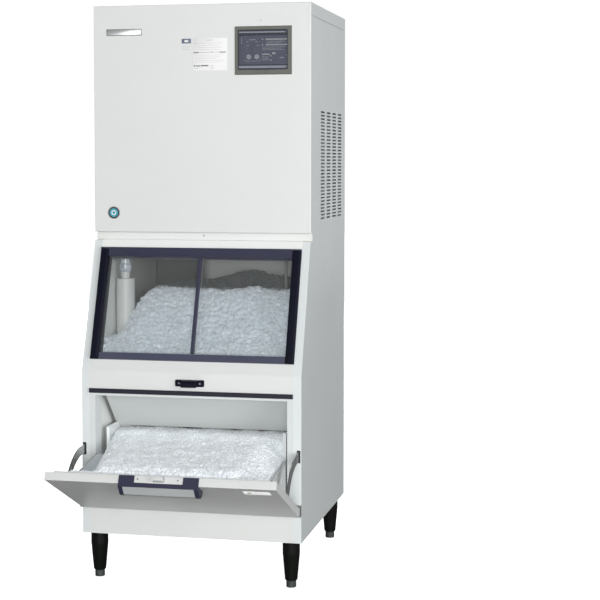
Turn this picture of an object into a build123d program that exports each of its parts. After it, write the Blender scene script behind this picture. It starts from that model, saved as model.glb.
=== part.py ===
from build123d import *
import math
import os

# Ice machine: a maker head standing on an insulated storage bin with a tilt-out
# door below and two sliding window panes above. Millimetres, X to the right,
# Y towards the back, Z up. While it is built, Y is 0 on the bin's lower front face.

# Cabinet
cabinet_width = 700
cabinet_depth = 743
leg_height = 146.5
bin_height = 914.5
crease_height = 512.5
lean_back = 141.6
sheet = 1.5
post_width = 25
front_wall = 60
window_wall = 28
side_wall = 40
back_wall = 53
floor_wall = 60
liner_wall = 2.5
seat_gap = 0.3

# Lower opening
jamb_width = 44
opening_sill = 105.5
opening_height = 330
frame_wall = 3
split_drop = 1
seal_height = 14
seal_proud = 7
seal_side_gap = 1
seal_lap = 5

# Tilt-out door, built closed and then swung open
door_side_gap = 3
door_lap_below = 13
door_lap_above = 17
door_thickness = 24.5
door_inner_gap = 7.5
door_open_angle = 65
door_edge_radius = 2
pivot_depth = 16.3
pivot_lift = 9.1
pin_radius = 3
pin_length = 11
pin_play = 0.06
liner_lip_height = 6
liner_lip_width = 7
liner_base = 2
liner_foot = 13
liner_head = 10
wing_gap = 8
wing_thickness = 5
wing_radius = 151
wing_top_angle = 29
wing_end_angle = -5
wing_reach = 270
wing_lift = 4

# Door stays, curved about the hinge
stay_inset = 8.4
stay_thickness = 3
stay_outer_radius = 180
stay_width = 29
stay_inside_angle = 72
stay_tab = 14
guide_wall = 1.6
guide_depth = 8
guide_proud = 0.8
slot_play = 1.3

# Handle and latch
handle_half = 120
handle_ear = 47
handle_sheet = 2.5
handle_band = 3.5
handle_drop = 52
handle_reach = 26
handle_arm = 13
arm_round = 5
grip_setback = 9.5
grip_sheet = 3
grip_slope_drop = 24
tongue_width = 30
tongue_depth = 12
tongue_height = 17
tongue_setback = 9
catch_half = 46
catch_height = 21
catch_bottom = 14
catch_plate = 4
catch_block_half = 24
catch_reach = 26

# Hinge brackets
bracket_height = 34
bracket_width = 21
bracket_reach = 24
bracket_sheet = 2

# Inside of the lower opening
baffle_gap = 12
baffle_drop = 2
baffle_run = 120
baffle_flange = 54
baffle_sheet = 1.5
guard_inset = 16
guard_sheet = 3
guard_flange = 10
guard_length = 131.5
guard_height = 267
guard_slot = 0.5

# Window
window_start = 36.5
window_top_gap = 27.7
window_bar = 28
window_top_bar = 28.5
window_cap = 6
window_bottom_bar = 21.5
bar_proud = 14
top_rail_proud = 10
bottom_rail_proud = 8
bar_round = 8
pane_thickness = 4
track_depth = 4
track_pitch = 8
track_play = 1
pane_bite = 8
lower_bite = 8
upper_bite = 10
pane_overlap = 6
left_pane_edge = 11
grip_width = 12
grip_height = 5
grip_end_gap = 4
grip_round = 2.5

# Legs and feet
leg_inset = 40.4
front_leg_y = 44
rear_leg_inset = 47
leg_top_radius = 27
leg_bottom_radius = 19.5
leg_straight = 34
leg_bottom = 22
leg_plate = 6
foot_radius = 15.5
foot_groove = 2
stud_radius = 6
stud_height = 50
stud_play = 0.4

# Drain tube and thermostat bulb in the bin
drain_radius = 30
drain_wall = 2
drain_gap = 3.5
drain_guard_gap = 1.5
drain_top_drop = 129
neck_radius = 14.5
neck_height = 21
elbow_radius = 20
elbow_waist = 16
bulb_inset = 72
bulb_setback = 240
bulb_radius = 5
bulb_drop = 175

# Stored ice
ice_clear = 2
ice_front = 12
ice_lower_rise = 200
ice_front_rise = 190
ice_door_side_gap = 4.5
ice_window_rise = 53
ice_headroom = 177
ice_hollow_width = 58

# Maker head
head_overhang = 0.8
head_height = 737
head_step = 0.4
head_panel_depth = 22
head_panel_lift = 25
head_sheet = 1.5
lid_rim = 40
lid_gap = 1.2
base_recess = 20
base_floor = 2
drop_inset = 15
drop_divider_gap = 12
drop_setback = 8
drop_length = 160

# Vent slots in the right side
vent_columns = 4
vent_rows = 32
vent_pitch_y = 101.5
vent_pitch_z = 10.93
vent_length = 72
vent_slot = 5.5
vent_setback = 197
vent_drop = 332

# Controls in the front panel
bezel_inset = 60.4
bezel_width = 180.8
bezel_drop = 71.5
bezel_height = 149.5
bezel_frame = 9.7
bezel_lower_frame = 15
bezel_proud = 4
bezel_depth = 26
bezel_wall = 2
cover_gap = 1
cover_thickness = 2.5
cover_hinge_drop = 4
cover_side_step = 2
cover_top_step = 1
overlay_depth = 12
overlay_thickness = 2
key_radius = 7.8
key_play = 0.5
key_proud = 1.8
key_travel = 1.2
key_inset = 41.4
key_rise = 56
key_pitch_x = 25.5
key_pitch_z = 21.5
tab_inset = 67.4
tab_width = 41
tab_height = 11
tab_depth = 7

# Works in the head
divider_x = 62
divider_sheet = 2
evaporator_inset = 35.8
evaporator_setback = 61
evaporator_drop = 368
evaporator_height = 230
evaporator_plates = 6
evaporator_plate_depth = 10
evaporator_pitch = 34
evaporator_ribs = 9
rib_inset = 8
rib_end_gap = 2
rib_thickness = 3
rib_height = 6
end_plate = 4
header_inset = 20
header_width = 24
header_drop = 12
header_height = 18
slope_lead = 13
slope_gap = 25
slope_run = 220
slope_fall = 115
slope_sheet = 3
slope_slots = 10
tank_lead = 30
tank_length = 230
tank_rise = 44
tank_height = 120
tank_wall = 3
tank_foot_inset = 30
tank_foot_gap = 40
tank_foot_width = 20
tank_foot_setback = 20
pump_radius = 38
pump_height = 120
compressor_radius = 88
compressor_height = 290
compressor_inset = 135.8
compressor_back = 183
receiver_radius = 50
receiver_height = 250
receiver_inset = 100.8
receiver_setback = 136
fitting_radius = 10.4
fitting_length = 28
spout_radius = 16
coupling_radius = 14
fitting_rise = 62
fitting_inset = 100.8
spout_inset = 160.8
liquid_inset = 200.8
suction_inset = 145.8
spout_rise = 34
box_gap = 8
box_depth = 110
box_drop = 60
box_top_gap = 20

# Worked out from the values above
half = cabinet_width / 2
bin_bottom = leg_height
bin_top = leg_height + bin_height
crease = leg_height + crease_height
lean = math.atan2(lean_back, bin_top - crease)
front_plane = Plane(
    origin=(0, 0, crease), x_dir=(1, 0, 0), z_dir=(0, -math.cos(lean), math.sin(lean))
)
cavity_half = half - side_wall
cavity_floor = bin_bottom + floor_wall
cavity_back = cabinet_depth - back_wall
opening_half = half - jamb_width
sill = bin_bottom + opening_sill
lintel = sill + opening_height
door_half = half - door_side_gap
door_bottom = sill - door_lap_below
door_top = lintel + door_lap_above
door_inner = -door_inner_gap
door_outer = door_inner - door_thickness
split = door_bottom - split_drop
seal_top = door_top + seal_lap
pivot = (door_outer + pivot_depth, door_bottom + pivot_lift)
wing_plane = opening_half - wing_gap
stay_plane = half - stay_inset
stay_inner_radius = stay_outer_radius - stay_width
guard_plane = opening_half - guard_inset
guard_top = cavity_floor + guard_height
guard_back = front_wall + guard_length
baffle_half = opening_half - baffle_gap
baffle_z = lintel - baffle_drop
baffle_tip = (front_wall + baffle_run, baffle_z - baffle_run)
front_length = math.hypot(lean_back, bin_top - crease)
window_end = front_length - window_top_gap
drain_x = drain_radius + drain_gap - cavity_half
drain_y = guard_back + drain_guard_gap + drain_radius
drain_top = bin_top - drain_top_drop
bulb_x = cavity_half - bulb_inset
bulb_y = front_wall + bulb_setback
rear_leg_y = cabinet_depth - rear_leg_inset
head_half = half + head_overhang
head_bottom = bin_top
head_top = bin_top + head_height
head_front_setback = lean_back + head_step
panel_back = head_front_setback + head_panel_depth
panel_bottom = head_bottom + head_panel_lift
base_front = head_front_setback + base_recess
bezel_x1 = head_half - bezel_inset
bezel_x0 = bezel_x1 - bezel_width
bezel_z1 = head_top - bezel_drop
bezel_z0 = bezel_z1 - bezel_height
cover_x0 = bezel_x0 + bezel_frame
cover_x1 = bezel_x1 - bezel_frame - cover_side_step
cover_z0 = bezel_z0 + bezel_lower_frame
cover_z1 = bezel_z1 - bezel_frame - cover_top_step
cover_pivot_z = cover_z1 - cover_hinge_drop
evaporator_x0 = evaporator_inset - head_half
evaporator_y0 = panel_back + evaporator_setback
evaporator_z0 = head_top - evaporator_drop
slope_top = (evaporator_y0 - slope_lead, evaporator_z0 - slope_gap)
slope_end = (slope_top[0] + slope_run, slope_top[1] - slope_fall)
tank_y0 = evaporator_y0 - tank_lead
tank_z0 = head_bottom + tank_rise
compressor_x = head_half - compressor_inset
compressor_y = cabinet_depth - compressor_back
receiver_x = head_half - receiver_inset
receiver_y = panel_back + receiver_setback
spout_z = bin_bottom + spout_rise
ice_lower_top = sill + ice_lower_rise
ice_front_top = sill + ice_front_rise
ice_window_level = crease + ice_window_rise
ice_crown = bin_top - ice_headroom


def block(x0, x1, y0, y1, z0, z1):
    centre = Pos((x0 + x1) / 2, (y0 + y1) / 2, (z0 + z1) / 2)
    return centre * Box(x1 - x0, y1 - y0, z1 - z0)


def prism(outline, x0, x1):
    # An outline in Y and Z, drawn out along X
    face = make_face(Plane.YZ * Polyline(*outline, close=True))
    return Pos(x0, 0, 0) * extrude(face, amount=x1 - x0, dir=(1, 0, 0))


def front_block(x0, x1, s0, s1, n0, n1):
    # A block laid on the leaning front: s runs up it, n stands out of it
    centre = Pos((x0 + x1) / 2, (s0 + s1) / 2, (n0 + n1) / 2)
    return front_plane * centre * Box(x1 - x0, s1 - s0, n1 - n0)


def rod(x, y, z0, z1, radius):
    return Pos(x, y, (z0 + z1) / 2) * Cylinder(radius, z1 - z0)


def rod_x(x0, x1, y, z, radius):
    return Pos((x0 + x1) / 2, y, z) * Rot(0, 90, 0) * Cylinder(radius, x1 - x0)


def rod_y(x, y0, y1, z, radius):
    return Pos(x, (y0 + y1) / 2, z) * Rot(90, 0, 0) * Cylinder(radius, y1 - y0)


def pair(piece):
    return piece + mirror(piece, about=Plane.YZ)


def on_front(s, n):
    # Y and Z of a point on the leaning front
    y = s * math.sin(lean) - n * math.cos(lean)
    z = crease + s * math.cos(lean) + n * math.sin(lean)
    return (y, z)


def lean_y(z, inset):
    # Y of the leaning front, moved inwards by an inset, at a height
    return math.tan(lean) * (z - crease) + inset / math.cos(lean)


def bin_outline(front, back, bottom, top):
    low = bin_bottom + bottom
    high = bin_top - top
    return [
        (front, low),
        (cabinet_depth - back, low),
        (cabinet_depth - back, high),
        (lean_y(high, front), high),
        (front, crease - front * math.tan(lean / 2)),
    ]


def cavity_outline(grow):
    # The storage space, grown outwards by the liner's wall for its outer face
    edge_y, edge_z = on_front(window_start + ice_clear, grow - window_wall)
    shelf_z = edge_z - (front_wall - edge_y)
    return [
        (front_wall - grow, cavity_floor - grow),
        (cavity_back + grow, cavity_floor - grow),
        (cavity_back + grow, bin_top),
        (lean_y(bin_top, window_wall - grow), bin_top),
        (edge_y, edge_z),
        (front_wall - grow, shelf_z),
    ]


def turn_at_pivot(point, angle):
    y = point[0] - pivot[0]
    z = point[1] - pivot[1]
    c = math.cos(math.radians(angle))
    s = math.sin(math.radians(angle))
    return (pivot[0] + y * c - z * s, pivot[1] + y * s + z * c)


def around_pivot(radius, angle):
    a = math.radians(angle)
    return (pivot[0] + radius * math.cos(a), pivot[1] + radius * math.sin(a))


def swing_open(piece):
    return piece.rotate(Axis((0, pivot[0], pivot[1]), (1, 0, 0)), door_open_angle)


# Bin shell

def bin_side():
    side = prism(bin_outline(0, 0, 0, 0), half - post_width, half)
    side -= prism(bin_outline(sheet, -1, -1, -1), half - post_width - 1, half - sheet)
    side -= stay_slot(guide_wall)
    return side


def stay_slot(grow):
    rise_low = math.sqrt(stay_inner_radius**2 - pivot[0] ** 2)
    rise_high = math.sqrt(stay_outer_radius**2 - pivot[0] ** 2)
    wide = stay_thickness / 2 + slot_play + grow
    return block(
        stay_plane - wide,
        stay_plane + wide,
        -2 * guide_proud,
        guide_depth + 1,
        pivot[1] + rise_low - slot_play - grow,
        pivot[1] + rise_high + 2 * slot_play + grow,
    )


def stay_guides():
    low = stay_slot(guide_wall)
    body = low & block(0, half, 0, guide_depth, 0, bin_top)
    lip = stay_slot(guide_wall + 1) & block(0, half, -guide_proud, 0, 0, bin_top)
    return pair(body + lip - stay_slot(0))


def bin_back_panel():
    back = block(
        sheet - half, half - sheet, cabinet_depth - sheet, cabinet_depth, bin_bottom, bin_top
    )
    return back - rod_y(0, cavity_back, cabinet_depth + 1, spout_z, spout_radius)


def bin_bottom_panel():
    return block(
        sheet - half, half - sheet, sheet, cabinet_depth - sheet, bin_bottom, bin_bottom + sheet
    )


def bin_insulation():
    foam = prism(bin_outline(sheet, sheet, sheet, 0), sheet - half, half - sheet)
    foam -= prism(cavity_outline(liner_wall), -cavity_half - liner_wall, cavity_half + liner_wall)
    foam -= block(
        -opening_half - frame_wall,
        opening_half + frame_wall,
        -1,
        front_wall,
        sill - frame_wall,
        lintel + frame_wall,
    )
    post_edge = half - post_width
    foam -= front_block(-post_edge, post_edge, window_start, window_end, -window_wall, 5)
    foam -= block(-post_edge, post_edge, 0, rail_back(), bin_top - sheet, bin_top + 1)
    foam -= pair(stay_pocket())
    foam -= rod_y(0, 0.8 * cabinet_depth, cabinet_depth, spout_z, spout_radius)
    return foam


def stay_pocket():
    # Room in the side wall for the stay when the door is shut
    reach = pivot[0] + stay_outer_radius + 6
    return block(
        stay_plane - 6,
        half,
        0,
        reach,
        pivot[1] + 4,
        pivot[1] + stay_outer_radius + 6,
    )


def bin_liner():
    liner = prism(cavity_outline(liner_wall), -cavity_half - liner_wall, cavity_half + liner_wall)
    liner -= prism(cavity_outline(0), -cavity_half, cavity_half)
    liner -= block(
        -opening_half - frame_wall,
        opening_half + frame_wall,
        0,
        front_wall + 1,
        sill - frame_wall,
        lintel + frame_wall,
    )
    mouth = half - post_width
    liner -= front_block(-mouth, mouth, window_start, window_end, -window_wall, 5)
    liner -= block(-half, half, 0, rail_back(), bin_top - sheet, bin_top + 1)
    return liner


def rail_back():
    return lean_y(bin_top, window_wall - liner_wall)


def top_rail():
    x = half - post_width
    face = front_block(-x, x, window_end, front_length + window_top_gap, -sheet, 0)
    face &= block(-half, half, 0, cabinet_depth, crease, bin_top)
    ledge = block(-x, x, lean_y(bin_top, 0), rail_back(), bin_top - sheet, bin_top)
    ledge -= prism(
        [(0, 0), (0, crease), (lean_y(bin_top, 0), bin_top), (0, bin_top)], -half, half
    )
    return face + ledge


def middle_rail():
    x = half - post_width
    outline = [
        (0, seal_top),
        (0, crease),
        on_front(window_start, 0),
        on_front(window_start, -sheet),
        (sheet, crease - sheet * math.tan(lean / 2)),
        (sheet, seal_top),
    ]
    return prism(outline, -x, x)


def lower_front_panel():
    x = half - post_width
    return block(-x, x, 0, sheet, bin_bottom, split)


def opening_frame():
    x = half - post_width
    frame = block(-x, x, 0, sheet, split, seal_top)
    frame += block(
        -opening_half - frame_wall,
        opening_half + frame_wall,
        sheet,
        front_wall,
        sill - frame_wall,
        lintel + frame_wall,
    )
    frame -= block(-opening_half, opening_half, -1, front_wall + 1, sill, lintel)
    return frame


def opening_seal():
    x = half - post_width - seal_side_gap
    seal = block(-x, x, -seal_proud, 0, seal_top - seal_height, seal_top)
    return chamfer(seal.edges().filter_by(Axis.X).group_by(Axis.Y)[0], 1.5)


def baffle_plate():
    step = baffle_sheet * (math.sqrt(2) - 1)
    outline = [
        (front_wall, baffle_z + baffle_flange),
        (front_wall, baffle_z),
        baffle_tip,
        (baffle_tip[0] + baffle_sheet / 2, baffle_tip[1] + baffle_sheet / 2),
        (front_wall + baffle_sheet, baffle_z + step),
        (front_wall + baffle_sheet, baffle_z + baffle_flange),
    ]
    return prism(outline, -baffle_half, baffle_half) - guard_room(guard_slot)


def guard_room(gap):
    # The space the two guard plates stand in, with some play
    return pair(
        block(
            guard_plane - guard_sheet - gap,
            guard_plane + gap,
            front_wall - 1,
            guard_back + gap,
            cavity_floor - 1,
            guard_top + gap,
        )
    )


def ice_guards():
    inner = guard_plane - guard_sheet
    plate = block(
        inner, guard_plane, front_wall, guard_back, cavity_floor, guard_top
    )
    flange = block(
        guard_plane - guard_flange,
        guard_plane,
        front_wall,
        front_wall + guard_sheet,
        cavity_floor,
        guard_top,
    )
    return pair(plate + flange)


# Hinges, catch, legs

def hinge_brackets():
    low = pivot[1] - bracket_height / 2
    high = pivot[1] + bracket_height / 2
    outer = block(half - bracket_sheet, half, -bracket_reach, -bracket_sheet, low, high)
    outer = fillet(outer.edges().filter_by(Axis.X).group_by(Axis.Y)[0], bracket_sheet * 3)
    foot = block(half - bracket_width, half, -bracket_sheet, 0, low, high)
    pin = rod_x(door_half - pin_length, half - bracket_sheet, pivot[0], pivot[1], pin_radius)
    return pair(outer + foot + pin)


def door_catch():
    low = seal_top + catch_bottom
    plate = block(-catch_half, catch_half, -catch_plate, 0, low, low + catch_height)
    plate = fillet(plate.edges().filter_by(Axis.Y), 4)
    nose = [
        (-catch_plate, low),
        (-catch_reach, low),
        (-catch_reach, low + catch_height - 7),
        (-catch_reach + 6, low + catch_height - 1),
        (-catch_plate, low + catch_height - 1),
    ]
    nose_block = prism(nose, -catch_block_half, catch_block_half)
    side = nose_block.edges().filter_by(Axis.Z).group_by(Axis.Y)[0]
    return plate + chamfer(side, 3)


def leg(x, y):
    shaft_top = bin_bottom - leg_plate
    outline = [
        (0, leg_bottom),
        (leg_bottom_radius - 2, leg_bottom),
        (leg_bottom_radius, leg_bottom + 2),
        (leg_top_radius, shaft_top - leg_straight),
        (leg_top_radius, bin_bottom),
        (0, bin_bottom),
    ]
    face = make_face(Plane.XZ * Polyline(*outline, close=True))
    shaft = revolve(face, Axis.Z)
    shaft -= rod(0, 0, leg_bottom - 1, leg_bottom + stud_height + 1, stud_radius + stud_play)
    return Pos(x, y, 0) * shaft


def leg_places():
    x = half - leg_inset
    return [(-x, front_leg_y), (x, front_leg_y), (-x, rear_leg_y), (x, rear_leg_y)]


def legs():
    return Compound([leg(x, y) for x, y in leg_places()])


def foot(x, y):
    outline = [
        (0, 0),
        (foot_radius - 1, 0),
        (foot_radius, 1),
        (foot_radius, leg_bottom - seat_gap - foot_groove),
        (foot_radius - foot_groove, leg_bottom - seat_gap),
        (stud_radius, leg_bottom - seat_gap),
        (stud_radius, leg_bottom + stud_height),
        (0, leg_bottom + stud_height),
    ]
    face = make_face(Plane.XZ * Polyline(*outline, close=True))
    return Pos(x, y, 0) * revolve(face, Axis.Z)


# Window

def proud_edges(bar):
    # The four edges of a block's outer face on the leaning front, lowest first
    face = bar.faces().sort_by(Axis((0, 0, crease), front_plane.z_dir))[-1]
    return face.edges().sort_by(Axis.Z)


def window_bars():
    x1 = half - post_width
    x0 = x1 - window_bar
    end = window_end - window_cap
    bar = front_block(x0, x1, window_start, end, -window_wall, bar_proud)
    bar = fillet(proud_edges(bar)[:3], bar_round)
    lip = track_depth - track_play
    groove_low = -track_depth - track_pitch - pane_thickness - track_play
    groove = front_block(
        x0 - 1,
        x0 + pane_bite + track_play,
        window_start + window_bottom_bar - lower_bite,
        end,
        groove_low,
        -lip,
    )
    return pair(bar - groove)


def track_grooves(s0, s1):
    half_run = half - post_width - window_bar + 1
    front_low = -track_depth - pane_thickness - track_play
    grooves = front_block(-half_run, half_run, s0, s1, front_low, track_play - track_depth)
    rear = front_low - track_pitch
    rear_high = track_play - track_depth - track_pitch
    return grooves + front_block(-half_run, half_run, s0, s1, rear, rear_high)


def window_top_rail():
    x = half - post_width
    inner = x - window_bar
    low = window_end - window_top_bar
    rail = front_block(-inner, inner, low, window_end, -window_wall, top_rail_proud)
    rail += front_block(-x, x, window_end - window_cap, window_end, -window_wall, top_rail_proud)
    return rail - track_grooves(low - 1, low + upper_bite + 6)


def window_bottom_rail():
    inner = half - post_width - window_bar
    high = window_start + window_bottom_bar
    rail = front_block(-inner, inner, window_start, high, -window_wall, bottom_rail_proud)
    return rail - track_grooves(high - lower_bite, high + 1)


def pane(x0, x1, track):
    s0 = window_start + window_bottom_bar - lower_bite + seat_gap
    s1 = window_end - window_top_bar + upper_bite
    front = -track_depth - track * track_pitch
    return front_block(x0, x1, s0, s1, front - pane_thickness, front)


def left_pane():
    edge = half - post_width - window_bar + pane_bite
    return pane(-edge, left_pane_edge, 0)


def right_pane():
    edge = half - post_width - window_bar + pane_bite
    return pane(left_pane_edge - 3 - grip_width - pane_overlap / 2, edge, 1)


def pane_grip():
    x1 = left_pane_edge - 3
    s0 = window_start + window_bottom_bar + grip_end_gap
    s1 = window_end - window_top_bar - grip_end_gap
    bar = front_block(x1 - grip_width, x1, s0, s1, -track_depth, grip_height)
    long_edges = proud_edges(bar).sort_by(SortBy.LENGTH)[-2:]
    return fillet(long_edges, grip_round)


# Tilt-out door, modelled shut

def door_shell():
    shell = block(-door_half, door_half, door_outer, door_inner, door_bottom, door_top)
    shell = fillet(shell.edges().group_by(Axis.Y)[0], door_edge_radius)
    hole = rod_x(
        door_half - pin_length - seat_gap, door_half + 1, pivot[0], pivot[1], pin_radius + pin_play
    )
    return shell - pair(hole)


def wing():
    tip = around_pivot(wing_radius, wing_end_angle)
    mid = around_pivot(wing_radius, (wing_end_angle + wing_top_angle) / 2)
    top = around_pivot(wing_radius, wing_top_angle)
    floor_y = door_inner + liner_base
    low = sill + wing_lift
    rear = (front_wall + wing_lift, low)
    edges = Polyline((floor_y, door_bottom + wing_reach), (floor_y, low), rear, tip)
    edges += ThreePointArc(tip, mid, top)
    edges += Line(top, (floor_y, door_bottom + wing_reach))
    face = make_face(Plane.YZ * edges)
    plate = extrude(face, amount=wing_thickness, dir=(1, 0, 0))
    return Pos(wing_plane - wing_thickness / 2, 0, 0) * plate


def door_liner():
    low = door_bottom + liner_foot
    high = door_top - liner_head
    x = half - post_width
    base = block(-x, x, door_inner, door_inner + liner_base, low, high)
    rim = block(-x, x, door_inner + liner_base, door_inner + liner_lip_height, low, high)
    w = liner_lip_width
    rim -= block(w - x, x - w, door_inner, 0, low + w, high - w)
    return base + rim + pair(wing())


def door_handle():
    outer_edge = door_outer - grip_setback
    top = door_top + handle_sheet
    reach = door_outer - handle_reach
    h = handle_half
    cap = block(-h, h, outer_edge, door_inner, door_top, top)
    cap -= block(
        handle_ear - h, h - handle_ear, door_outer + handle_band, door_inner + 1, door_top - 1, top + 1
    )
    band = block(-h, h, outer_edge, door_outer, door_top - 14, door_top)
    arm_outline = [
        (door_outer, door_top),
        (outer_edge, top),
        (reach, door_top - grip_slope_drop),
        (reach, door_top - handle_drop + 12),
        (reach + 10, door_top - handle_drop),
        (door_outer, door_top - handle_drop),
    ]
    arm = prism(arm_outline, h - handle_arm, h)
    arm = fillet(arm.edges().filter_by(Axis.X).group_by(Axis.Y)[0], arm_round)
    return cap + band + pair(arm)


def handle_grip():
    x = handle_half - handle_arm
    back_y = door_outer - grip_setback
    reach = door_outer - handle_reach
    low = door_top - handle_drop + 14
    t = grip_sheet
    outline = [
        (back_y, door_top),
        (reach, door_top - grip_slope_drop),
        (reach, low),
        (reach + t, low),
        (reach + t, door_top - grip_slope_drop - t / 2),
        (back_y, door_top - t * 1.6),
    ]
    return prism(outline, -x, x)


def door_strike():
    back_y = door_outer + tongue_setback + tongue_depth
    x = tongue_width / 2
    tongue = block(
        -x, x, door_outer + tongue_setback, back_y, door_top, door_top + tongue_height
    )
    return fillet(tongue.edges().filter_by(Axis.Z), 3.5)


def door_stays():
    # The curved arm, its foot on the door and the tab that stops it in the slot
    start = stay_inside_angle - door_open_angle
    end = 90
    inner_a = around_pivot(stay_inner_radius, start)
    outer_a = around_pivot(stay_outer_radius, start)
    inner_m = around_pivot(stay_inner_radius, (start + end) / 2)
    outer_m = around_pivot(stay_outer_radius, (start + end) / 2)
    inner_b = around_pivot(stay_inner_radius, end)
    outer_b = around_pivot(stay_outer_radius, end)
    edges = ThreePointArc(inner_a, inner_m, inner_b)
    edges += Line(inner_b, outer_b)
    edges += ThreePointArc(outer_b, outer_m, outer_a)
    edges += Line(outer_a, inner_a)
    face = make_face(Plane.YZ * edges)
    arm = extrude(face, amount=stay_thickness, dir=(1, 0, 0))
    arm = Pos(stay_plane - stay_thickness / 2, 0, 0) * arm
    arm -= block(0, half, door_outer, door_inner, door_bottom, door_top)
    root = block(
        stay_plane - stay_tab,
        stay_plane + stay_thickness / 2,
        door_inner,
        door_inner + bracket_sheet,
        pivot[1] + stay_inner_radius,
        pivot[1] + stay_outer_radius,
    )
    return pair(arm + root)


# Bin fittings and ice

def drain_tube():
    tube = rod(drain_x, drain_y, cavity_floor, drain_top, drain_radius)
    tube -= rod(drain_x, drain_y, cavity_floor + 6, drain_top + 1, drain_radius - drain_wall)
    cap = rod(drain_x, drain_y, drain_top - 4, drain_top, drain_radius - drain_wall)
    neck = rod(drain_x, drain_y, drain_top, drain_top + neck_height, neck_radius)
    return tube + cap + neck


def drain_elbow():
    low = drain_top + neck_height
    step = elbow_radius - elbow_waist
    outline = [
        (0, low),
        (elbow_waist, low),
        (elbow_radius, low + 2 * step),
        (elbow_radius, low + 6 * step),
        (elbow_waist, low + 7 * step),
        (elbow_waist, low + 15 * step),
        (elbow_radius, low + 16 * step),
        (elbow_radius, bin_top),
        (0, bin_top),
    ]
    face = make_face(Plane.XZ * Polyline(*outline, close=True))
    return Pos(drain_x, drain_y, 0) * revolve(face, Axis.Z)


def thermostat_bulb():
    bulb = rod(bulb_x, bulb_y, bin_top - bulb_drop, bin_top, bulb_radius)
    return fillet(bulb.edges().group_by(Axis.Z)[0], bulb_radius * 0.6)


def ice_heap():
    c = ice_clear
    x = cavity_half - c
    wing_in = wing_plane - wing_thickness / 2 - ice_door_side_gap
    guard_in = guard_plane - guard_sheet - seat_gap
    flange_in = guard_plane - guard_flange - seat_gap
    flange_back = front_wall + guard_sheet + seat_gap
    back = guard_back + seat_gap
    lower = block(-wing_in, wing_in, ice_front, front_wall - seat_gap, sill + c, ice_front_top)
    lower += block(
        -flange_in, flange_in, front_wall - seat_gap, flange_back, sill + c, ice_front_top
    )
    between = [
        (flange_back, cavity_floor),
        (back, cavity_floor),
        (back, ice_lower_top),
        (flange_back, ice_front_top),
    ]
    lower += prism(between, -guard_in, guard_in)
    lower += block(-x, x, back, cavity_back - c, cavity_floor, ice_lower_top)
    heap = lower + prism(upper_ice(), -x, x)
    heap -= prism(ice_hollow(), -x - 1, ice_hollow_width - x)
    heap -= rod(drain_x, drain_y, 0, bin_top, drain_radius + seat_gap)
    return heap - guard_room(seat_gap)


def ice_point(share_y, share_z):
    # A point of the upper surface, as shares of the way back and of the way up to the crown
    y = front_wall + share_y * (cavity_back - ice_clear - front_wall)
    return (y, ice_window_level + share_z * (ice_crown - ice_window_level))


def upper_ice():
    c = ice_clear
    gap = baffle_sheet + c
    rail_z = on_front(window_start, 0)[1]
    return [
        (baffle_tip[0] + gap, ice_lower_top),
        (baffle_tip[0] + gap, baffle_tip[1] + baffle_sheet),
        (front_wall + gap, baffle_z + c),
        (front_wall + gap, cavity_outline(0)[5][1]),
        (lean_y(rail_z, window_wall) + c, rail_z),
        (lean_y(ice_window_level, window_wall) + c, ice_window_level),
        ice_point(0.222, 0.326),
        ice_point(0.429, 0.663),
        ice_point(0.587, 0.907),
        ice_point(0.73, 1),
        ice_point(0.857, 0.965),
        ice_point(1, 0.895),
        (cavity_back - c, ice_lower_top),
    ]


def ice_hollow():
    # The low corner round the drain tube
    deep, level = ice_point(1, 0.87)
    return [
        ice_point(0, 0.01),
        ice_point(0.5, 0.29),
        ice_point(0.75, 0.71),
        (deep + 1, level),
        (deep + 1, bin_top),
        (front_wall, bin_top),
    ]


def door_ice():
    # Loose ice on the open door, up to the bin's own heap
    lean_x = wing_plane - wing_thickness / 2 - ice_door_side_gap
    floor_y = door_inner + liner_base + seat_gap
    low = turn_at_pivot((floor_y, door_bottom + liner_foot + liner_lip_width + 2), door_open_angle)
    far = turn_at_pivot((floor_y, door_top - liner_head - liner_lip_width - 1), door_open_angle)
    crest = turn_at_pivot((floor_y + 14, door_top - liner_head - liner_lip_width - 3), door_open_angle)
    back = ice_front - seat_gap
    rim = turn_at_pivot(
        (door_inner + liner_lip_height + 1, door_bottom + liner_foot + liner_lip_width + 2),
        door_open_angle,
    )
    outline = [low, rim, (back, rim[1]), (back, ice_front_top), crest, far]
    return prism(outline, -lean_x, lean_x)


# Maker head

def head_base():
    x = head_half - head_sheet
    back = cabinet_depth - head_sheet
    floor = block(-x, x, base_front, back, head_bottom, head_bottom + base_floor)
    front = block(-x, x, base_front, base_front + head_sheet, head_bottom, panel_bottom)
    drop_y = slope_end[0] + drop_setback
    drop = block(
        evaporator_x0 + drop_inset,
        divider_x - drop_divider_gap,
        drop_y,
        drop_y + drop_length,
        head_bottom - 1,
        head_bottom + base_floor + 1,
    )
    return floor + front - drop


def head_front_panel():
    y0 = head_front_setback
    outer = block(-head_half, head_half, y0, panel_back, panel_bottom, head_top)
    outer = fillet(outer.edges().group_by(Axis.Y)[0], 2)
    inner = block(
        head_sheet - head_half,
        head_half - head_sheet,
        y0 + head_sheet,
        panel_back + 1,
        panel_bottom + head_sheet,
        head_top - head_sheet,
    )
    hole = block(
        bezel_x0 + bezel_wall,
        bezel_x1 - bezel_wall,
        y0 - 1,
        y0 + 5,
        bezel_z0 + bezel_wall,
        bezel_z1 - bezel_wall,
    )
    return outer - inner - hole


def head_top_panel():
    y0 = panel_back + seat_gap
    low = head_top - lid_rim
    lid = block(-head_half, head_half, y0, cabinet_depth, low, head_top)
    lid = fillet(lid.edges().group_by(Axis.Z)[-1], 2)
    return lid - block(
        head_sheet - head_half,
        head_half - head_sheet,
        y0 - 1,
        cabinet_depth - head_sheet,
        low - 1,
        head_top - head_sheet,
    )


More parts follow.
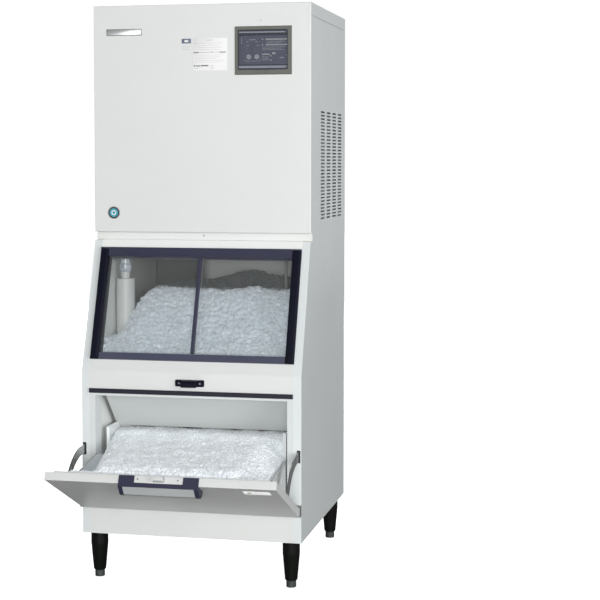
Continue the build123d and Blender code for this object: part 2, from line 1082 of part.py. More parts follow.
def head_side():
    top = head_top - lid_rim - lid_gap
    x0 = head_half - head_sheet
    plate = block(x0, head_half, panel_back + seat_gap, cabinet_depth, head_bottom, top)
    flange = block(
        x0 - 18, x0, cabinet_depth - head_sheet, cabinet_depth, head_bottom, top
    )
    lip = block(x0 - 16, x0, panel_back + seat_gap, cabinet_depth - head_sheet, top - head_sheet, top)
    return plate + flange + lip


def vent_slots():
    slots = []
    for column in range(vent_columns):
        y = head_front_setback + vent_setback + column * vent_pitch_y
        for row in range(vent_rows):
            z = head_top - vent_drop - row * vent_pitch_z
            slot = Box(4 * head_sheet, vent_length, vent_slot)
            slots.append(Pos(head_half, y, z) * slot)
    return slots


def head_right_side():
    return head_side() - vent_slots()


def head_left_side():
    return mirror(head_side(), about=Plane.YZ)


def head_back_panel():
    x = head_half - head_sheet - 18
    y1 = cabinet_depth
    top = head_top - lid_rim - lid_gap
    panel = block(-x, x, y1 - head_sheet, y1, head_bottom + base_floor, top)
    for x, z, radius in back_fittings():
        panel -= rod_y(x, y1 - 10, y1 + 10, z, radius)
    return panel


def back_fittings():
    row = head_bottom + fitting_rise
    return [
        (fitting_inset - head_half, row, fitting_radius),
        (spout_inset - head_half, row, spout_radius),
        (head_half - liquid_inset, row, coupling_radius),
        (head_half - suction_inset, row, coupling_radius),
    ]


def service_fittings():
    fittings = []
    for x, z, radius in back_fittings():
        stub = rod_y(x, cabinet_depth - 20, cabinet_depth + fitting_length, z, radius - seat_gap)
        collar = Pos(x, cabinet_depth + 4, z) * Rot(90, 0, 0) * extrude(
            RegularPolygon(radius * 1.35, 6), amount=4, both=True
        )
        bore = rod_y(x, cabinet_depth, cabinet_depth + fitting_length + 1, z, radius - 3)
        fittings.append(stub + collar - bore)
    return Compound(fittings)


def control_bezel():
    y0 = head_front_setback - bezel_proud
    y1 = head_front_setback
    rim = block(bezel_x0, bezel_x1, y0, y1, bezel_z0, bezel_z1)
    rim = chamfer(rim.edges().group_by(Axis.Y)[0], 2)
    w = bezel_wall + seat_gap
    cup = block(bezel_x0 + w, bezel_x1 - w, y1, y1 + bezel_depth, bezel_z0 + w, bezel_z1 - w)
    window = block(cover_x0, cover_x1, y0 - 1, y1 + bezel_depth - bezel_wall, cover_z0, cover_z1)
    tab_x = bezel_x0 + tab_inset
    notch = block(
        tab_x, tab_x + tab_width, y0 - 1, y0 + tab_depth, cover_z0 - tab_height, cover_z0 + 1
    )
    return rim + cup - window - notch


def control_cover():
    g = cover_gap
    y0 = head_front_setback - bezel_proud + 1
    cover = block(
        cover_x0 + g, cover_x1 - g, y0, y0 + cover_thickness, cover_z0 + g, cover_z1 - g
    )
    cover = fillet(cover.edges().filter_by(Axis.Y), 4)
    for z in (cover_z1 - 14, cover_z0 + 14):
        cover -= Pos((cover_x0 + cover_x1) / 2, y0, z) * Rot(45, 0, 0) * Box(cover_x1 - cover_x0, 1, 1)
    pin = rod_x(
        cover_x0 + seat_gap,
        cover_x1 - seat_gap,
        y0 + cover_thickness / 2,
        cover_pivot_z,
        cover_thickness / 2 - 0.1,
    )
    return cover + pin


def control_overlay():
    y0 = head_front_setback + overlay_depth
    plate = block(cover_x0, cover_x1, y0, y0 + overlay_thickness, cover_z0, cover_z1)
    for x, z in key_places():
        plate -= rod_y(x, y0 - 1, y0 + overlay_thickness + 1, z, key_radius + key_play)
    return plate


def key_places():
    x = bezel_x0 + key_inset
    z = bezel_z0 + key_rise
    columns = (x, x + key_pitch_x)
    return [(x, z + key_pitch_z) for x in columns] + [(x, z) for x in columns]


def key_cap(x, z):
    y0 = head_front_setback + overlay_depth
    cap = rod_y(x, y0 - key_proud, y0 + overlay_thickness + key_travel, z, key_radius)
    return chamfer(cap.edges().group_by(Axis.Y)[0], 0.6)


# Works inside the head

def divider_panel():
    top = head_top - lid_rim
    return block(
        divider_x,
        divider_x + divider_sheet,
        panel_back + 6,
        cabinet_depth - head_sheet,
        head_bottom + base_floor,
        top,
    )


def evaporator():
    # Upright freezing plates with rounded ribs, joined to one end plate, and the header tubes
    x0 = evaporator_x0
    x1 = divider_x
    z0 = evaporator_z0
    z1 = z0 + evaporator_height
    depth = evaporator_pitch * (evaporator_plates - 1) + evaporator_plate_depth
    edge = end_plate
    body = block(
        x1 - edge, x1, evaporator_y0 - edge, evaporator_y0 + depth + edge, z0 - edge, z1 + edge
    )
    rib_pitch = (x1 - x0 - rib_inset - rib_end_gap) / evaporator_ribs
    for index in range(evaporator_plates):
        y = evaporator_y0 + index * evaporator_pitch
        body += block(x0, x1, y, y + evaporator_plate_depth, z0, z1)
        for rib in range(evaporator_ribs):
            x = x0 + rib_inset + rib * rib_pitch
            body += block(x - rib_thickness / 2, x + rib_thickness / 2, y - rib_height, y, z0, z1)
    header = block(
        x0 + header_inset,
        x0 + header_inset + header_width,
        evaporator_y0 + evaporator_plate_depth,
        evaporator_y0 + depth,
        z1 - header_drop - header_height,
        z1 - header_drop,
    )
    return body + header


def ice_slope():
    outline = [
        slope_top,
        slope_end,
        (slope_end[0], slope_end[1] - slope_sheet),
        (slope_top[0], slope_top[1] - slope_sheet),
    ]
    x0 = evaporator_x0 - 10
    plate = prism(outline, x0, divider_x)
    pitch = (divider_x - x0) / slope_slots
    for index in range(slope_slots):
        x = x0 + (index + 0.5) * pitch
        plate -= block(
            x - pitch / 4,
            x + pitch / 4,
            slope_top[0] + 0.15 * slope_run,
            slope_top[0] + 0.85 * slope_run,
            slope_end[1] - slope_fall,
            slope_top[1] + slope_fall,
        )
    return plate


def water_tank():
    x0 = evaporator_x0
    y1 = tank_y0 + tank_length
    z1 = tank_z0 + tank_height
    t = tank_wall
    tank = block(x0, divider_x, tank_y0, y1, tank_z0, z1)
    tank -= block(x0 + t, divider_x - t, tank_y0 + t, y1 - t, tank_z0 + t, z1 + 1)
    for x in (x0 + tank_foot_inset, divider_x - tank_foot_gap - tank_foot_width):
        tank += block(
            x,
            x + tank_foot_width,
            tank_y0 + tank_foot_setback,
            y1 - tank_foot_setback,
            head_bottom + base_floor,
            tank_z0,
        )
    return tank


def circulation_pump():
    x = divider_x - tank_wall - pump_radius - 8
    y = tank_y0 + tank_length / 2
    z = tank_z0 + tank_wall
    body = rod(x, y, z, z + 30, pump_radius)
    body += rod(x, y, z + 30, z + pump_height, pump_radius * 0.75)
    body += rod(x, y, z + pump_height, z + pump_height + 6, pump_radius * 0.3)
    spout = rod_x(x - pump_radius - 20, x, y, z + 15, 8)
    return body + spout


def compressor():
    z = head_bottom + base_floor
    r = compressor_radius
    plate = block(
        compressor_x - r, compressor_x + r, compressor_y - r, compressor_y + r, z + 14, z + 18
    )
    for sx in (-1, 1):
        for sy in (-1, 1):
            plate += rod(compressor_x + sx * (r - 14), compressor_y + sy * (r - 14), z, z + 14, 12)
    shell = rod(compressor_x, compressor_y, z + 18, z + 18 + compressor_height, r - 6)
    shell = fillet(shell.edges().group_by(Axis.Z)[-1], 40)
    return plate + shell


def receiver_tank():
    z = head_bottom + base_floor
    body = rod(receiver_x, receiver_y, z + 8, z + 8 + receiver_height, receiver_radius)
    ends = body.edges().group_by(Axis.Z)
    body = fillet(ends[-1], receiver_radius * 0.5)
    skirt = rod(receiver_x, receiver_y, z, z + 8, receiver_radius * 0.8)
    return body + skirt


def control_box():
    y0 = head_front_setback + head_sheet + bezel_depth + box_gap
    box = block(
        divider_x + divider_sheet,
        bezel_x1,
        y0,
        y0 + box_depth,
        bezel_z0 - box_drop,
        head_top - lid_rim - box_top_gap,
    )
    return chamfer(box.edges().filter_by(Axis.Z), 3)


# Everything, by node name

nodes = {
    "bin_left_side": mirror(bin_side(), about=Plane.YZ),
    "bin_right_side": bin_side(),
    "bin_back_panel": bin_back_panel(),
    "bin_bottom_panel": bin_bottom_panel(),
    "bin_insulation": bin_insulation(),
    "bin_liner": bin_liner(),
    "top_rail": top_rail(),
    "middle_rail": middle_rail(),
    "lower_front_panel": lower_front_panel(),
    "opening_frame": opening_frame(),
    "opening_seal": opening_seal(),
    "baffle_plate": baffle_plate(),
    "ice_guards": ice_guards(),
    "door_catch": door_catch(),
    "hinge_brackets": hinge_brackets(),
    "stay_guides": stay_guides(),
    "legs": legs(),
    "window_top_rail": window_top_rail(),
    "window_bottom_rail": window_bottom_rail(),
    "window_side_bars": window_bars(),
    "left_pane": left_pane(),
    "pane_grip": pane_grip(),
    "right_pane": right_pane(),
    "drain_tube": drain_tube(),
    "drain_elbow": drain_elbow(),
    "thermostat_bulb": thermostat_bulb(),
    "ice_heap": ice_heap(),
    "door_shell": swing_open(door_shell()),
    "door_liner": swing_open(door_liner()),
    "door_handle": swing_open(door_handle()),
    "handle_grip": swing_open(handle_grip()),
    "door_strike": swing_open(door_strike()),
    "door_stays": swing_open(door_stays()),
    "door_ice": door_ice(),
    "head_base": head_base(),
    "head_front_panel": head_front_panel(),
    "head_top_panel": head_top_panel(),
    "head_left_side": head_left_side(),
    "head_right_side": head_right_side(),
    "head_back_panel": head_back_panel(),
    "service_fittings": service_fittings(),
    "control_bezel": control_bezel(),
    "control_overlay": control_overlay(),
    "control_cover": control_cover(),
    "divider_panel": divider_panel(),
    "evaporator": evaporator(),
    "ice_slope": ice_slope(),
    "water_tank": water_tank(),
    "circulation_pump": circulation_pump(),
    "compressor": compressor(),
    "receiver_tank": receiver_tank(),
    "control_box": control_box(),
}
for number, (x, y) in enumerate(leg_places(), start=1):
    nodes[f"foot_{number}"] = foot(x, y)
for number, (x, z) in enumerate(key_places(), start=1):
    nodes[f"key_{number}"] = key_cap(x, z)

# The origin goes under the middle of the whole object, door open
boxes = [shape.bounding_box() for shape in nodes.values()]
middle_y = (min(b.min.Y for b in boxes) + max(b.max.Y for b in boxes)) / 2
os.makedirs("parts", exist_ok=True)
for name, shape in nodes.items():
    export_step(Pos(0, -middle_y, 0) * shape, f"parts/{name}.step")
print("pieces", len(nodes), "origin behind the lower front by", round(middle_y, 3))
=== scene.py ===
import bpy
import bmesh
import math
from mathutils import Euler, Matrix, Vector, noise


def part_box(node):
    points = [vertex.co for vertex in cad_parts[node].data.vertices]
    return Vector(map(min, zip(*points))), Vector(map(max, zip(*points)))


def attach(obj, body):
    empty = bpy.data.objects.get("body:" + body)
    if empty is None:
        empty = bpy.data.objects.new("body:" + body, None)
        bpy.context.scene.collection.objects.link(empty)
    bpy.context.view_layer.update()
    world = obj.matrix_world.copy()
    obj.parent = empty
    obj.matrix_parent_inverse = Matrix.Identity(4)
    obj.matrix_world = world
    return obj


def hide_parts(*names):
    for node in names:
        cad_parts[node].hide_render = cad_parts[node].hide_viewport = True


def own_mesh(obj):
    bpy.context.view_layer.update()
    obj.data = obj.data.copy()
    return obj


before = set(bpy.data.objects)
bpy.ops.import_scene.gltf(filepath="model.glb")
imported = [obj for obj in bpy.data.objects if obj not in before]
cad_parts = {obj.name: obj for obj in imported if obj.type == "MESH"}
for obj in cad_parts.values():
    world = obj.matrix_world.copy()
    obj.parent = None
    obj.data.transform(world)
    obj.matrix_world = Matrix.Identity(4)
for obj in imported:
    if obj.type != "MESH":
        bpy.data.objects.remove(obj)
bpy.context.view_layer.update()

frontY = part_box("lower_front_panel")[0][1]      # the bin's lower front face
cabinet = "cabinet"
rad = math.radians
right, backward, upward, forward = (Vector(way) for way in
                                    ((1, 0, 0), (0, 1, 0), (0, 0, 1), (0, -1, 0)))
frontLie = (right, upward, forward)     # how a flat piece lies on the front: across, up, out
print("frame loaded, front face at", round(frontY, 4))


def mm(x, y, z):
    # millimetres from the middle of the bin's lower front face, at floor level
    return Vector((x / 1000, y / 1000 + frontY, z / 1000))


# helpers for node trees

def setInputs(tree, node, values):
    # a socket is linked, a plain value is set
    for label, value in values.items():
        if isinstance(value, bpy.types.NodeSocket):
            tree.links.new(value, node.inputs[label])
        else:
            node.inputs[label].default_value = value


def addNode(tree, kind, values=None, **settings):
    node = tree.nodes.new(kind)
    for key, value in settings.items():
        setattr(node, key, value)
    setInputs(tree, node, values or {})
    return node


def addSockets(tree, inputs, outputs):
    # named inputs and outputs of a tree, and the nodes that stand for them inside it
    for label, kind, value in inputs:
        socket = tree.interface.new_socket(label, in_out="INPUT", socket_type="NodeSocket" + kind)
        if value is not None:
            socket.default_value = value
    for label, kind in outputs:
        tree.interface.new_socket(label, in_out="OUTPUT", socket_type="NodeSocket" + kind)
    return addNode(tree, "NodeGroupInput").outputs, addNode(tree, "NodeGroupOutput")


def mathNode(tree, operation, a, b):
    return addNode(tree, "ShaderNodeMath", {0: a, 1: b}, operation=operation).outputs[0]


def scaleNode(tree, vector, factor):
    return addNode(tree, "ShaderNodeVectorMath", {0: vector, "Scale": factor},
                   operation="SCALE").outputs[0]


# helpers for pieces

def newObject(name, data):
    thing = bpy.data.objects.new(name, data)
    bpy.context.scene.collection.objects.link(thing)
    return thing


def meshFrom(name, build):
    work = bmesh.new()
    build(work)
    bmesh.ops.remove_doubles(work, verts=work.verts, dist=1e-6)
    bmesh.ops.recalc_face_normals(work, faces=work.faces)
    mesh = bpy.data.meshes.new(name)
    work.to_mesh(mesh)
    work.free()
    return mesh


def smoothByAngle(thing, angle):
    bpy.context.view_layer.objects.active = thing
    thing.select_set(True)
    bpy.ops.object.shade_smooth_by_angle(angle=rad(angle))
    thing.select_set(False)


def finishPiece(thing, finishName, body, smooth=None):
    # without a finish name the piece keeps what its tree gave it
    if finishName:
        thing.data.materials.clear()
        thing.data.materials.append(finishes[finishName])
    if smooth:
        smoothByAngle(thing, smooth)
    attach(thing, body)
    return thing


# shader groups shared by the finishes

def shaderGroup(name, inputs, output):
    group = bpy.data.node_groups.new(name, "ShaderNodeTree")
    given, end = addSockets(group, inputs, [output])
    return group, given, end, addNode(group, "ShaderNodeTexCoord").outputs["Object"]


def makeRelief():
    # fine height for enamel peel and moulded grain
    group, given, end, place = shaderGroup(
        "fineRelief", [("Scale", "Float", 900), ("Detail", "Float", 2), ("Pebble", "Float", 0)],
        ("Height", "Float"))
    grain = addNode(group, "ShaderNodeTexNoise",
                    {"Vector": place, "Scale": given["Scale"], "Detail": given["Detail"]})
    cells = addNode(group, "ShaderNodeTexVoronoi", {"Vector": place, "Scale": given["Scale"]},
                    feature="SMOOTH_F1")
    blend = addNode(group, "ShaderNodeMix", {0: given["Pebble"], 2: grain.outputs[0],
                                             3: cells.outputs["Distance"]})
    setInputs(group, end, {"Height": blend.outputs[0]})
    return group


def makeWander():
    # slow drift between two tones, with a finer cloud over it
    finer, broadShare, fineShare = 9.0, 0.7, 0.3
    group, given, end, place = shaderGroup(
        "toneWander",
        [("Scale", "Float", 3), ("Dark", "Color", (0.7, 0.7, 0.7, 1)),
         ("Light", "Color", (0.8, 0.8, 0.8, 1)), ("Contrast", "Float", 1)], ("Color", "Color"))
    broad = addNode(group, "ShaderNodeTexNoise",
                    {"Vector": place, "Scale": given["Scale"], "Detail": 3})
    fine = addNode(group, "ShaderNodeTexNoise",
                   {"Vector": place, "Scale": mathNode(group, "MULTIPLY", given["Scale"], finer),
                    "Detail": 4})
    total = mathNode(group, "ADD", mathNode(group, "MULTIPLY", broad.outputs[0], broadShare),
                     mathNode(group, "MULTIPLY", fine.outputs[0], fineShare))
    centred = mathNode(group, "SUBTRACT", total, 0.5)
    spread = mathNode(group, "MULTIPLY", centred, given["Contrast"])
    mask = addNode(group, "ShaderNodeClamp", {0: mathNode(group, "ADD", spread, 0.5)})
    tone = addNode(group, "ShaderNodeMix", {0: mask.outputs[0], 6: given["Dark"],
                                            7: given["Light"]}, data_type="RGBA")
    setInputs(group, end, {"Color": tone.outputs[2]})
    return group


def makeSheen():
    # roughness that wanders between two values, as wiped and handled surfaces do
    group, given, end, place = shaderGroup(
        "wipedSheen", [("Scale", "Float", 6), ("Low", "Float", 0.3), ("High", "Float", 0.45)],
        ("Roughness", "Float"))
    stretch = addNode(group, "ShaderNodeMapping", {"Vector": place, "Scale": (1, 1, 0.35)})
    streak = addNode(group, "ShaderNodeTexNoise", {
        "Vector": stretch.outputs[0], "Scale": given["Scale"], "Detail": 5, "Distortion": 0.6})
    spread = addNode(group, "ShaderNodeMapRange", {
        "Value": streak.outputs[0], "From Min": 0.3, "From Max": 0.7, "To Min": given["Low"],
        "To Max": given["High"]})
    setInputs(group, end, {"Roughness": spread.outputs[0]})
    return group


def makeBrushed():
    # long fine lines for brushed sheet steel
    group, given, end, place = shaderGroup(
        "brushedLines", [("Stretch", "Vector", (4, 900, 900))], ("Lines", "Float"))
    stretched = addNode(group, "ShaderNodeVectorMath", {0: place, 1: given["Stretch"]},
                        operation="MULTIPLY")
    lines = addNode(group, "ShaderNodeTexNoise", {"Vector": stretched.outputs[0], "Scale": 1,
                                                  "Detail": 3})
    setInputs(group, end, {"Lines": lines.outputs[0]})
    return group


def makeFade():
    # a level that changes smoothly from one place to another along a direction
    group, given, end, place = shaderGroup(
        "levelFade", [("Direction", "Vector", backward), ("Begin", "Float", 0),
                      ("End", "Float", 1), ("First", "Float", 0), ("Last", "Float", 1)],
        ("Level", "Float"))
    along = addNode(group, "ShaderNodeVectorMath", {0: place, 1: given["Direction"]},
                    operation="DOT_PRODUCT")
    ramp = addNode(group, "ShaderNodeMapRange", {
        "Value": along.outputs["Value"], "From Min": given["Begin"], "From Max": given["End"],
        "To Min": given["First"], "To Max": given["Last"]}, interpolation_type="SMOOTHSTEP")
    setInputs(group, end, {"Level": ramp.outputs[0]})
    return group


relief, wander, sheen, brushed, fade = (make() for make in (makeRelief, makeWander, makeSheen,
                                                            makeBrushed, makeFade))


def useGroup(tree, group, **values):
    return addNode(tree, "ShaderNodeGroup", values, node_tree=group)


def levelAlong(tree, direction, begin, end, first, last):
    return useGroup(tree, fade, Direction=direction, Begin=begin, End=end, First=first,
                    Last=last).outputs["Level"]


# ways to make a finish

def surface(name, dark, light, rough, wanderScale, contrast, sheenScale=6.0):
    # two tones and a sheen, both wandering
    material = bpy.data.materials.new(name)
    material.use_nodes = True
    tree = material.node_tree
    shader = tree.nodes["Principled BSDF"]
    tone = useGroup(tree, wander, Scale=wanderScale, Dark=(*dark, 1), Light=(*light, 1),
                    Contrast=contrast)
    gloss = useGroup(tree, sheen, Scale=sheenScale, Low=rough[0], High=rough[1])
    setInputs(tree, shader, {"Base Color": tone.outputs["Color"],
                             "Roughness": gloss.outputs["Roughness"]})
    return material, tree, shader


def roughen(tree, height, strength, distance=0.001):
    bump = addNode(tree, "ShaderNodeBump", {"Height": height.outputs[0], "Strength": strength,
                                            "Distance": distance})
    setInputs(tree, tree.nodes["Principled BSDF"], {"Normal": bump.outputs[0]})


def baseSource(shader):
    return shader.inputs["Base Color"].links[0].from_socket


def shadeBy(tree, factor):
    # multiplies the surface's own colour by a value that varies over it, to paint shade
    shader = tree.nodes["Principled BSDF"]
    shade = addNode(tree, "ShaderNodeMix", {0: 1, 6: baseSource(shader), 7: factor},
                    data_type="RGBA", blend_type="MULTIPLY")
    setInputs(tree, shader, {"Base Color": shade.outputs[2]})


def coat(name, dark, light, rough=(0.3, 0.42), grain=(900, 0.04), wanderScale=2.5, contrast=1.2,
         pebble=0.0, metallic=0.0, clear=0.0, stretch=None, shine=0.5, paintedGlow=0.0):
    # enamel, plastic, print and steel; a stretch makes it brushed, a painted glow makes it give
    # light of its own
    material, tree, shader = surface(name, dark, light, rough, wanderScale, contrast)
    roughen(tree, useGroup(tree, brushed, Stretch=stretch) if stretch
            else useGroup(tree, relief, Scale=grain[0], Pebble=pebble), grain[1])
    setInputs(tree, shader, {"Metallic": metallic, "Specular IOR Level": shine,
                             "Coat Weight": clear, "Coat Roughness": 0.12,
                             "Emission Color": (1, 1, 1, 1), "Emission Strength": paintedGlow})
    return material


def clearSheet(name, tint, through, rough):
    # a see-through sheet: mostly open, with more of its tint at a slant, painted in place of the
    # stronger reflection there
    material, tree, shader = surface(name, [c * 0.92 for c in tint], tint, rough, 4.0, 1.0, 5.0)
    facing = addNode(tree, "ShaderNodeLayerWeight", {"Blend": 0.25})
    cover = addNode(tree, "ShaderNodeMapRange", {"Value": facing.outputs["Fresnel"],
                                                 "To Min": through[0], "To Max": through[1]})
    setInputs(tree, shader, {"Alpha": cover.outputs[0], "IOR": 1.49})
    return material


# where the liner's painted shade falls: the back wall from backFrom, darkest left of darkEdge, the
# side walls darkening along fade
linerSet = {"pale": (0.76, 0.775, 0.755), "lighter": 1.08, "backFrom": 0.452, "backEdge": 0.02,
            "backShade": 0.53, "darkEdge": (-0.15, -0.11), "darkShade": 0.05,
            "fade": (0.02, 0.44), "fadeTo": 0.42}


def linerFinish(name):
    # pale side walls with painted shade growing towards the back, and a back wall in painted shade,
    # deepest on its left half
    s = linerSet
    lighter = tuple(c * s["lighter"] for c in s["pale"])
    material = coat(name, s["pale"], lighter, (0.3, 0.5), (420, 0.1))
    tree = material.node_tree
    # painted shade: a darker back wall, its left half darker still, and side walls darker towards
    # the back
    back = levelAlong(tree, backward, s["backFrom"], s["backFrom"] + s["backEdge"], 0, 1)
    shade = levelAlong(tree, right, *s["darkEdge"], s["darkShade"], 1)
    wall = addNode(tree, "ShaderNodeMix", {
        0: back, 2: levelAlong(tree, backward, *s["fade"], 1, s["fadeTo"]),
        3: mathNode(tree, "MULTIPLY", shade, s["backShade"])})
    shadeBy(tree, wall.outputs[0])
    return material


def iceFinish(name, dark, light, cloud, transmission, rim, far, paintedGlow):
    # wet ice: cloudy cores, a painted highlight on rims where it turns away, tiny pits, painted
    # shade towards the back and a painted glow
    material, tree, shader = surface(name, dark, light, (0.06, 0.28), cloud, 2.4, 60.0)
    # painted highlight: where the surface turns away, the colour goes over to the pale rim colour
    turned = addNode(tree, "ShaderNodeLayerWeight", {"Blend": 0.35})
    edge = addNode(tree, "ShaderNodeMix", {0: turned.outputs["Facing"], 6: baseSource(shader),
                                           7: (*rim, 1)}, data_type="RGBA")
    setInputs(tree, shader, {"Base Color": edge.outputs[2]})
    # painted shade: the colour darker towards the back
    shadeBy(tree, levelAlong(tree, backward, far[0], far[1], 1, far[2]))
    roughen(tree, useGroup(tree, relief, Scale=260.0, Detail=3.0), 0.35, 0.002)
    # a painted glow, in the ice's own shaded colour
    setInputs(tree, shader, {"Emission Color": baseSource(shader), "Emission Strength": paintedGlow,
                             "IOR": 1.31, "Transmission Weight": transmission})
    return material


# dark tone, light tone, roughness from and to, grain scale and strength
coatSet = {
    "frontEnamel": ((0.74, 0.755, 0.745), (0.79, 0.8, 0.79)),
    "railEnamel": ((0.86, 0.885, 0.865), (0.91, 0.925, 0.905)),
    "sideEnamel": ((0.72, 0.765, 0.77), (0.785, 0.825, 0.825)),
    "mouldedFrame": ((0.67, 0.7, 0.7), (0.73, 0.755, 0.755), (0.35, 0.5), (500, 0.08)),
    "foamCore": ((0.62, 0.54, 0.36), (0.72, 0.64, 0.45), (0.7, 0.9), (240, 0.5)),
    "navyMoulding": ((0.028, 0.029, 0.056), (0.042, 0.044, 0.082), (0.3, 0.42), (650, 0.1)),
    "navyDeep": ((0.004, 0.005, 0.012), (0.008, 0.009, 0.02), (0.3, 0.45), (650, 0.1)),
    # the navy moulding made paler: a painted highlight for the window's bottom rail
    "navyPaintedHighlight": ((0.052, 0.056, 0.095), (0.072, 0.077, 0.12), (0.3, 0.42), (650, 0.1)),
    "sealNavy": ((0.012, 0.012, 0.022), (0.02, 0.02, 0.034), (0.4, 0.55), (600, 0.12)),
    "gripGrey": ((0.46, 0.49, 0.5), (0.54, 0.565, 0.57), (0.35, 0.5), (550, 0.1)),
    "bezelOlive": ((0.105, 0.11, 0.095), (0.15, 0.155, 0.135), (0.4, 0.55), (700, 0.12)),
    "panelSlate": ((0.12, 0.135, 0.19), (0.15, 0.165, 0.225), (0.35, 0.5), (800, 0.05)),
    "keyPale": ((0.66, 0.7, 0.72), (0.75, 0.78, 0.79), (0.3, 0.45), (700, 0.06)),
    "blackMoulding": ((0.012, 0.012, 0.016), (0.022, 0.022, 0.028), (0.3, 0.45), (600, 0.12)),
    "steelBrushed": ((0.5, 0.51, 0.5), (0.6, 0.61, 0.6), (0.28, 0.42), (900, 0.1)),
    "baffleSteel": ((0.59, 0.615, 0.6), (0.65, 0.675, 0.66), (0.4, 0.52), (900, 0.08)),
    "guardWhite": ((0.72, 0.75, 0.75), (0.79, 0.81, 0.81), (0.32, 0.45), (480, 0.08)),
    "legBlack": ((0.003, 0.004, 0.003), (0.006, 0.007, 0.006), (0.25, 0.36), (500, 0.08)),
    "footGrey": ((0.035, 0.042, 0.04), (0.05, 0.06, 0.056), (0.45, 0.6), (600, 0.15)),
    "tubePale": ((0.5, 0.52, 0.51), (0.58, 0.6, 0.59), (0.25, 0.4), (400, 0.06)),
    "elbowMilky": ((0.24, 0.29, 0.34), (0.62, 0.68, 0.72), (0.15, 0.3), (400, 0.06)),
    "strikeWhite": ((0.72, 0.74, 0.73), (0.8, 0.81, 0.8), (0.08, 0.18), (500, 0.03)),
    "screwBright": ((0.52, 0.53, 0.53), (0.66, 0.67, 0.67), (0.2, 0.34), (900, 0.06)),
    "plateSilver": ((0.45, 0.47, 0.47), (0.58, 0.6, 0.6), (0.25, 0.4), (900, 0.08)),
    "screwDull": ((0.15, 0.155, 0.155), (0.24, 0.245, 0.245), (0.3, 0.45), (900, 0.06)),
    "bulbGrey": ((0.085, 0.09, 0.09), (0.13, 0.135, 0.135), (0.35, 0.5)),
    # the finish of painted reflections on the smoked cover
    "coverReflectionPaint": ((0.17, 0.19, 0.24), (0.26, 0.285, 0.34), (0.2, 0.35)),
    # the door label's finish glows with painted light, brighter than the lamps make it
    "labelPaintedGlow": ((0.92, 0.93, 0.92), (0.96, 0.96, 0.95), (0.45, 0.6)),
    "labelGreen": ((0.42, 0.52, 0.12), (0.52, 0.62, 0.18), (0.45, 0.6)),
    "plateShadow": ((0.2, 0.22, 0.22), (0.27, 0.29, 0.29), (0.3, 0.45)),
    "labelWhite": ((0.82, 0.83, 0.82), (0.88, 0.88, 0.87), (0.45, 0.6)),
    "labelInk": ((0.16, 0.165, 0.17), (0.24, 0.245, 0.25), (0.45, 0.6)),
    "labelFaint": ((0.52, 0.53, 0.53), (0.6, 0.61, 0.61), (0.45, 0.6)),
    "labelBlue": ((0.1, 0.12, 0.2), (0.15, 0.17, 0.26), (0.4, 0.55)),
    "badgeTeal": ((0.05, 0.34, 0.44), (0.08, 0.42, 0.52), (0.2, 0.35)),
    "copperPlated": ((0.58, 0.57, 0.55), (0.68, 0.67, 0.65), (0.2, 0.35), (800, 0.06)),
}
# what only some of them have
coatExtras = {
    "foamCore": {"pebble": 0.7}, "navyDeep": {"shine": 0.12}, "sealNavy": {"shine": 0.3},
    "legBlack": {"shine": 0.22}, "steelBrushed": {"metallic": 1, "stretch": (6, 700, 700)},
    "baffleSteel": {"metallic": 0.1, "stretch": (5, 600, 600)},
    "plateSilver": {"metallic": 0.6, "stretch": (8, 500, 800)},
    "elbowMilky": {"wanderScale": 30, "contrast": 3, "clear": 0.4},
    "strikeWhite": {"clear": 0.5}, "badgeTeal": {"clear": 0.3}, "labelPaintedGlow": {"paintedGlow": 0.5},
    "screwBright": {"metallic": 1}, "screwDull": {"metallic": 0.4},
    "copperPlated": {"metallic": 1},
}
sheetSet = {
    "paneClear": {"tint": (0.78, 0.82, 0.8), "through": (0.03, 0.8), "rough": (0.02, 0.08)},
    "coverSmoke": {"tint": (0.12, 0.13, 0.18), "through": (0.2, 0.9), "rough": (0.04, 0.12)},
}
# far: where the painted shade on the ice begins and ends, and how much light is left there; rim is
# the painted highlight colour and glow the painted glow
iceLooks = {
    "iceCubes": {"dark": (0.38, 0.45, 0.51), "light": (0.66, 0.72, 0.775), "cloud": 46,
                 "transmission": 0.12, "rim": (0.92, 0.95, 0.97), "far": (0.04, 0.15, 0.12),
                 "paintedGlow": 0.1},
    "iceChips": {"dark": (0.54, 0.585, 0.62), "light": (0.82, 0.845, 0.865), "cloud": 75,
                 "transmission": 0.06, "rim": (0.88, 0.9, 0.92), "far": (-0.12, -0.01, 0.5),
                 "paintedGlow": 0.26},
}

finishes = {name: coat(name, *values, **coatExtras.get(name, {}))
            for name, values in coatSet.items()}
finishes["linerGrey"] = linerFinish("linerGrey")
finishes.update({name: clearSheet(name, **values) for name, values in sheetSet.items()})
finishes.update({name: iceFinish(name, **values) for name, values in iceLooks.items()})
print("finishes made:", len(finishes))

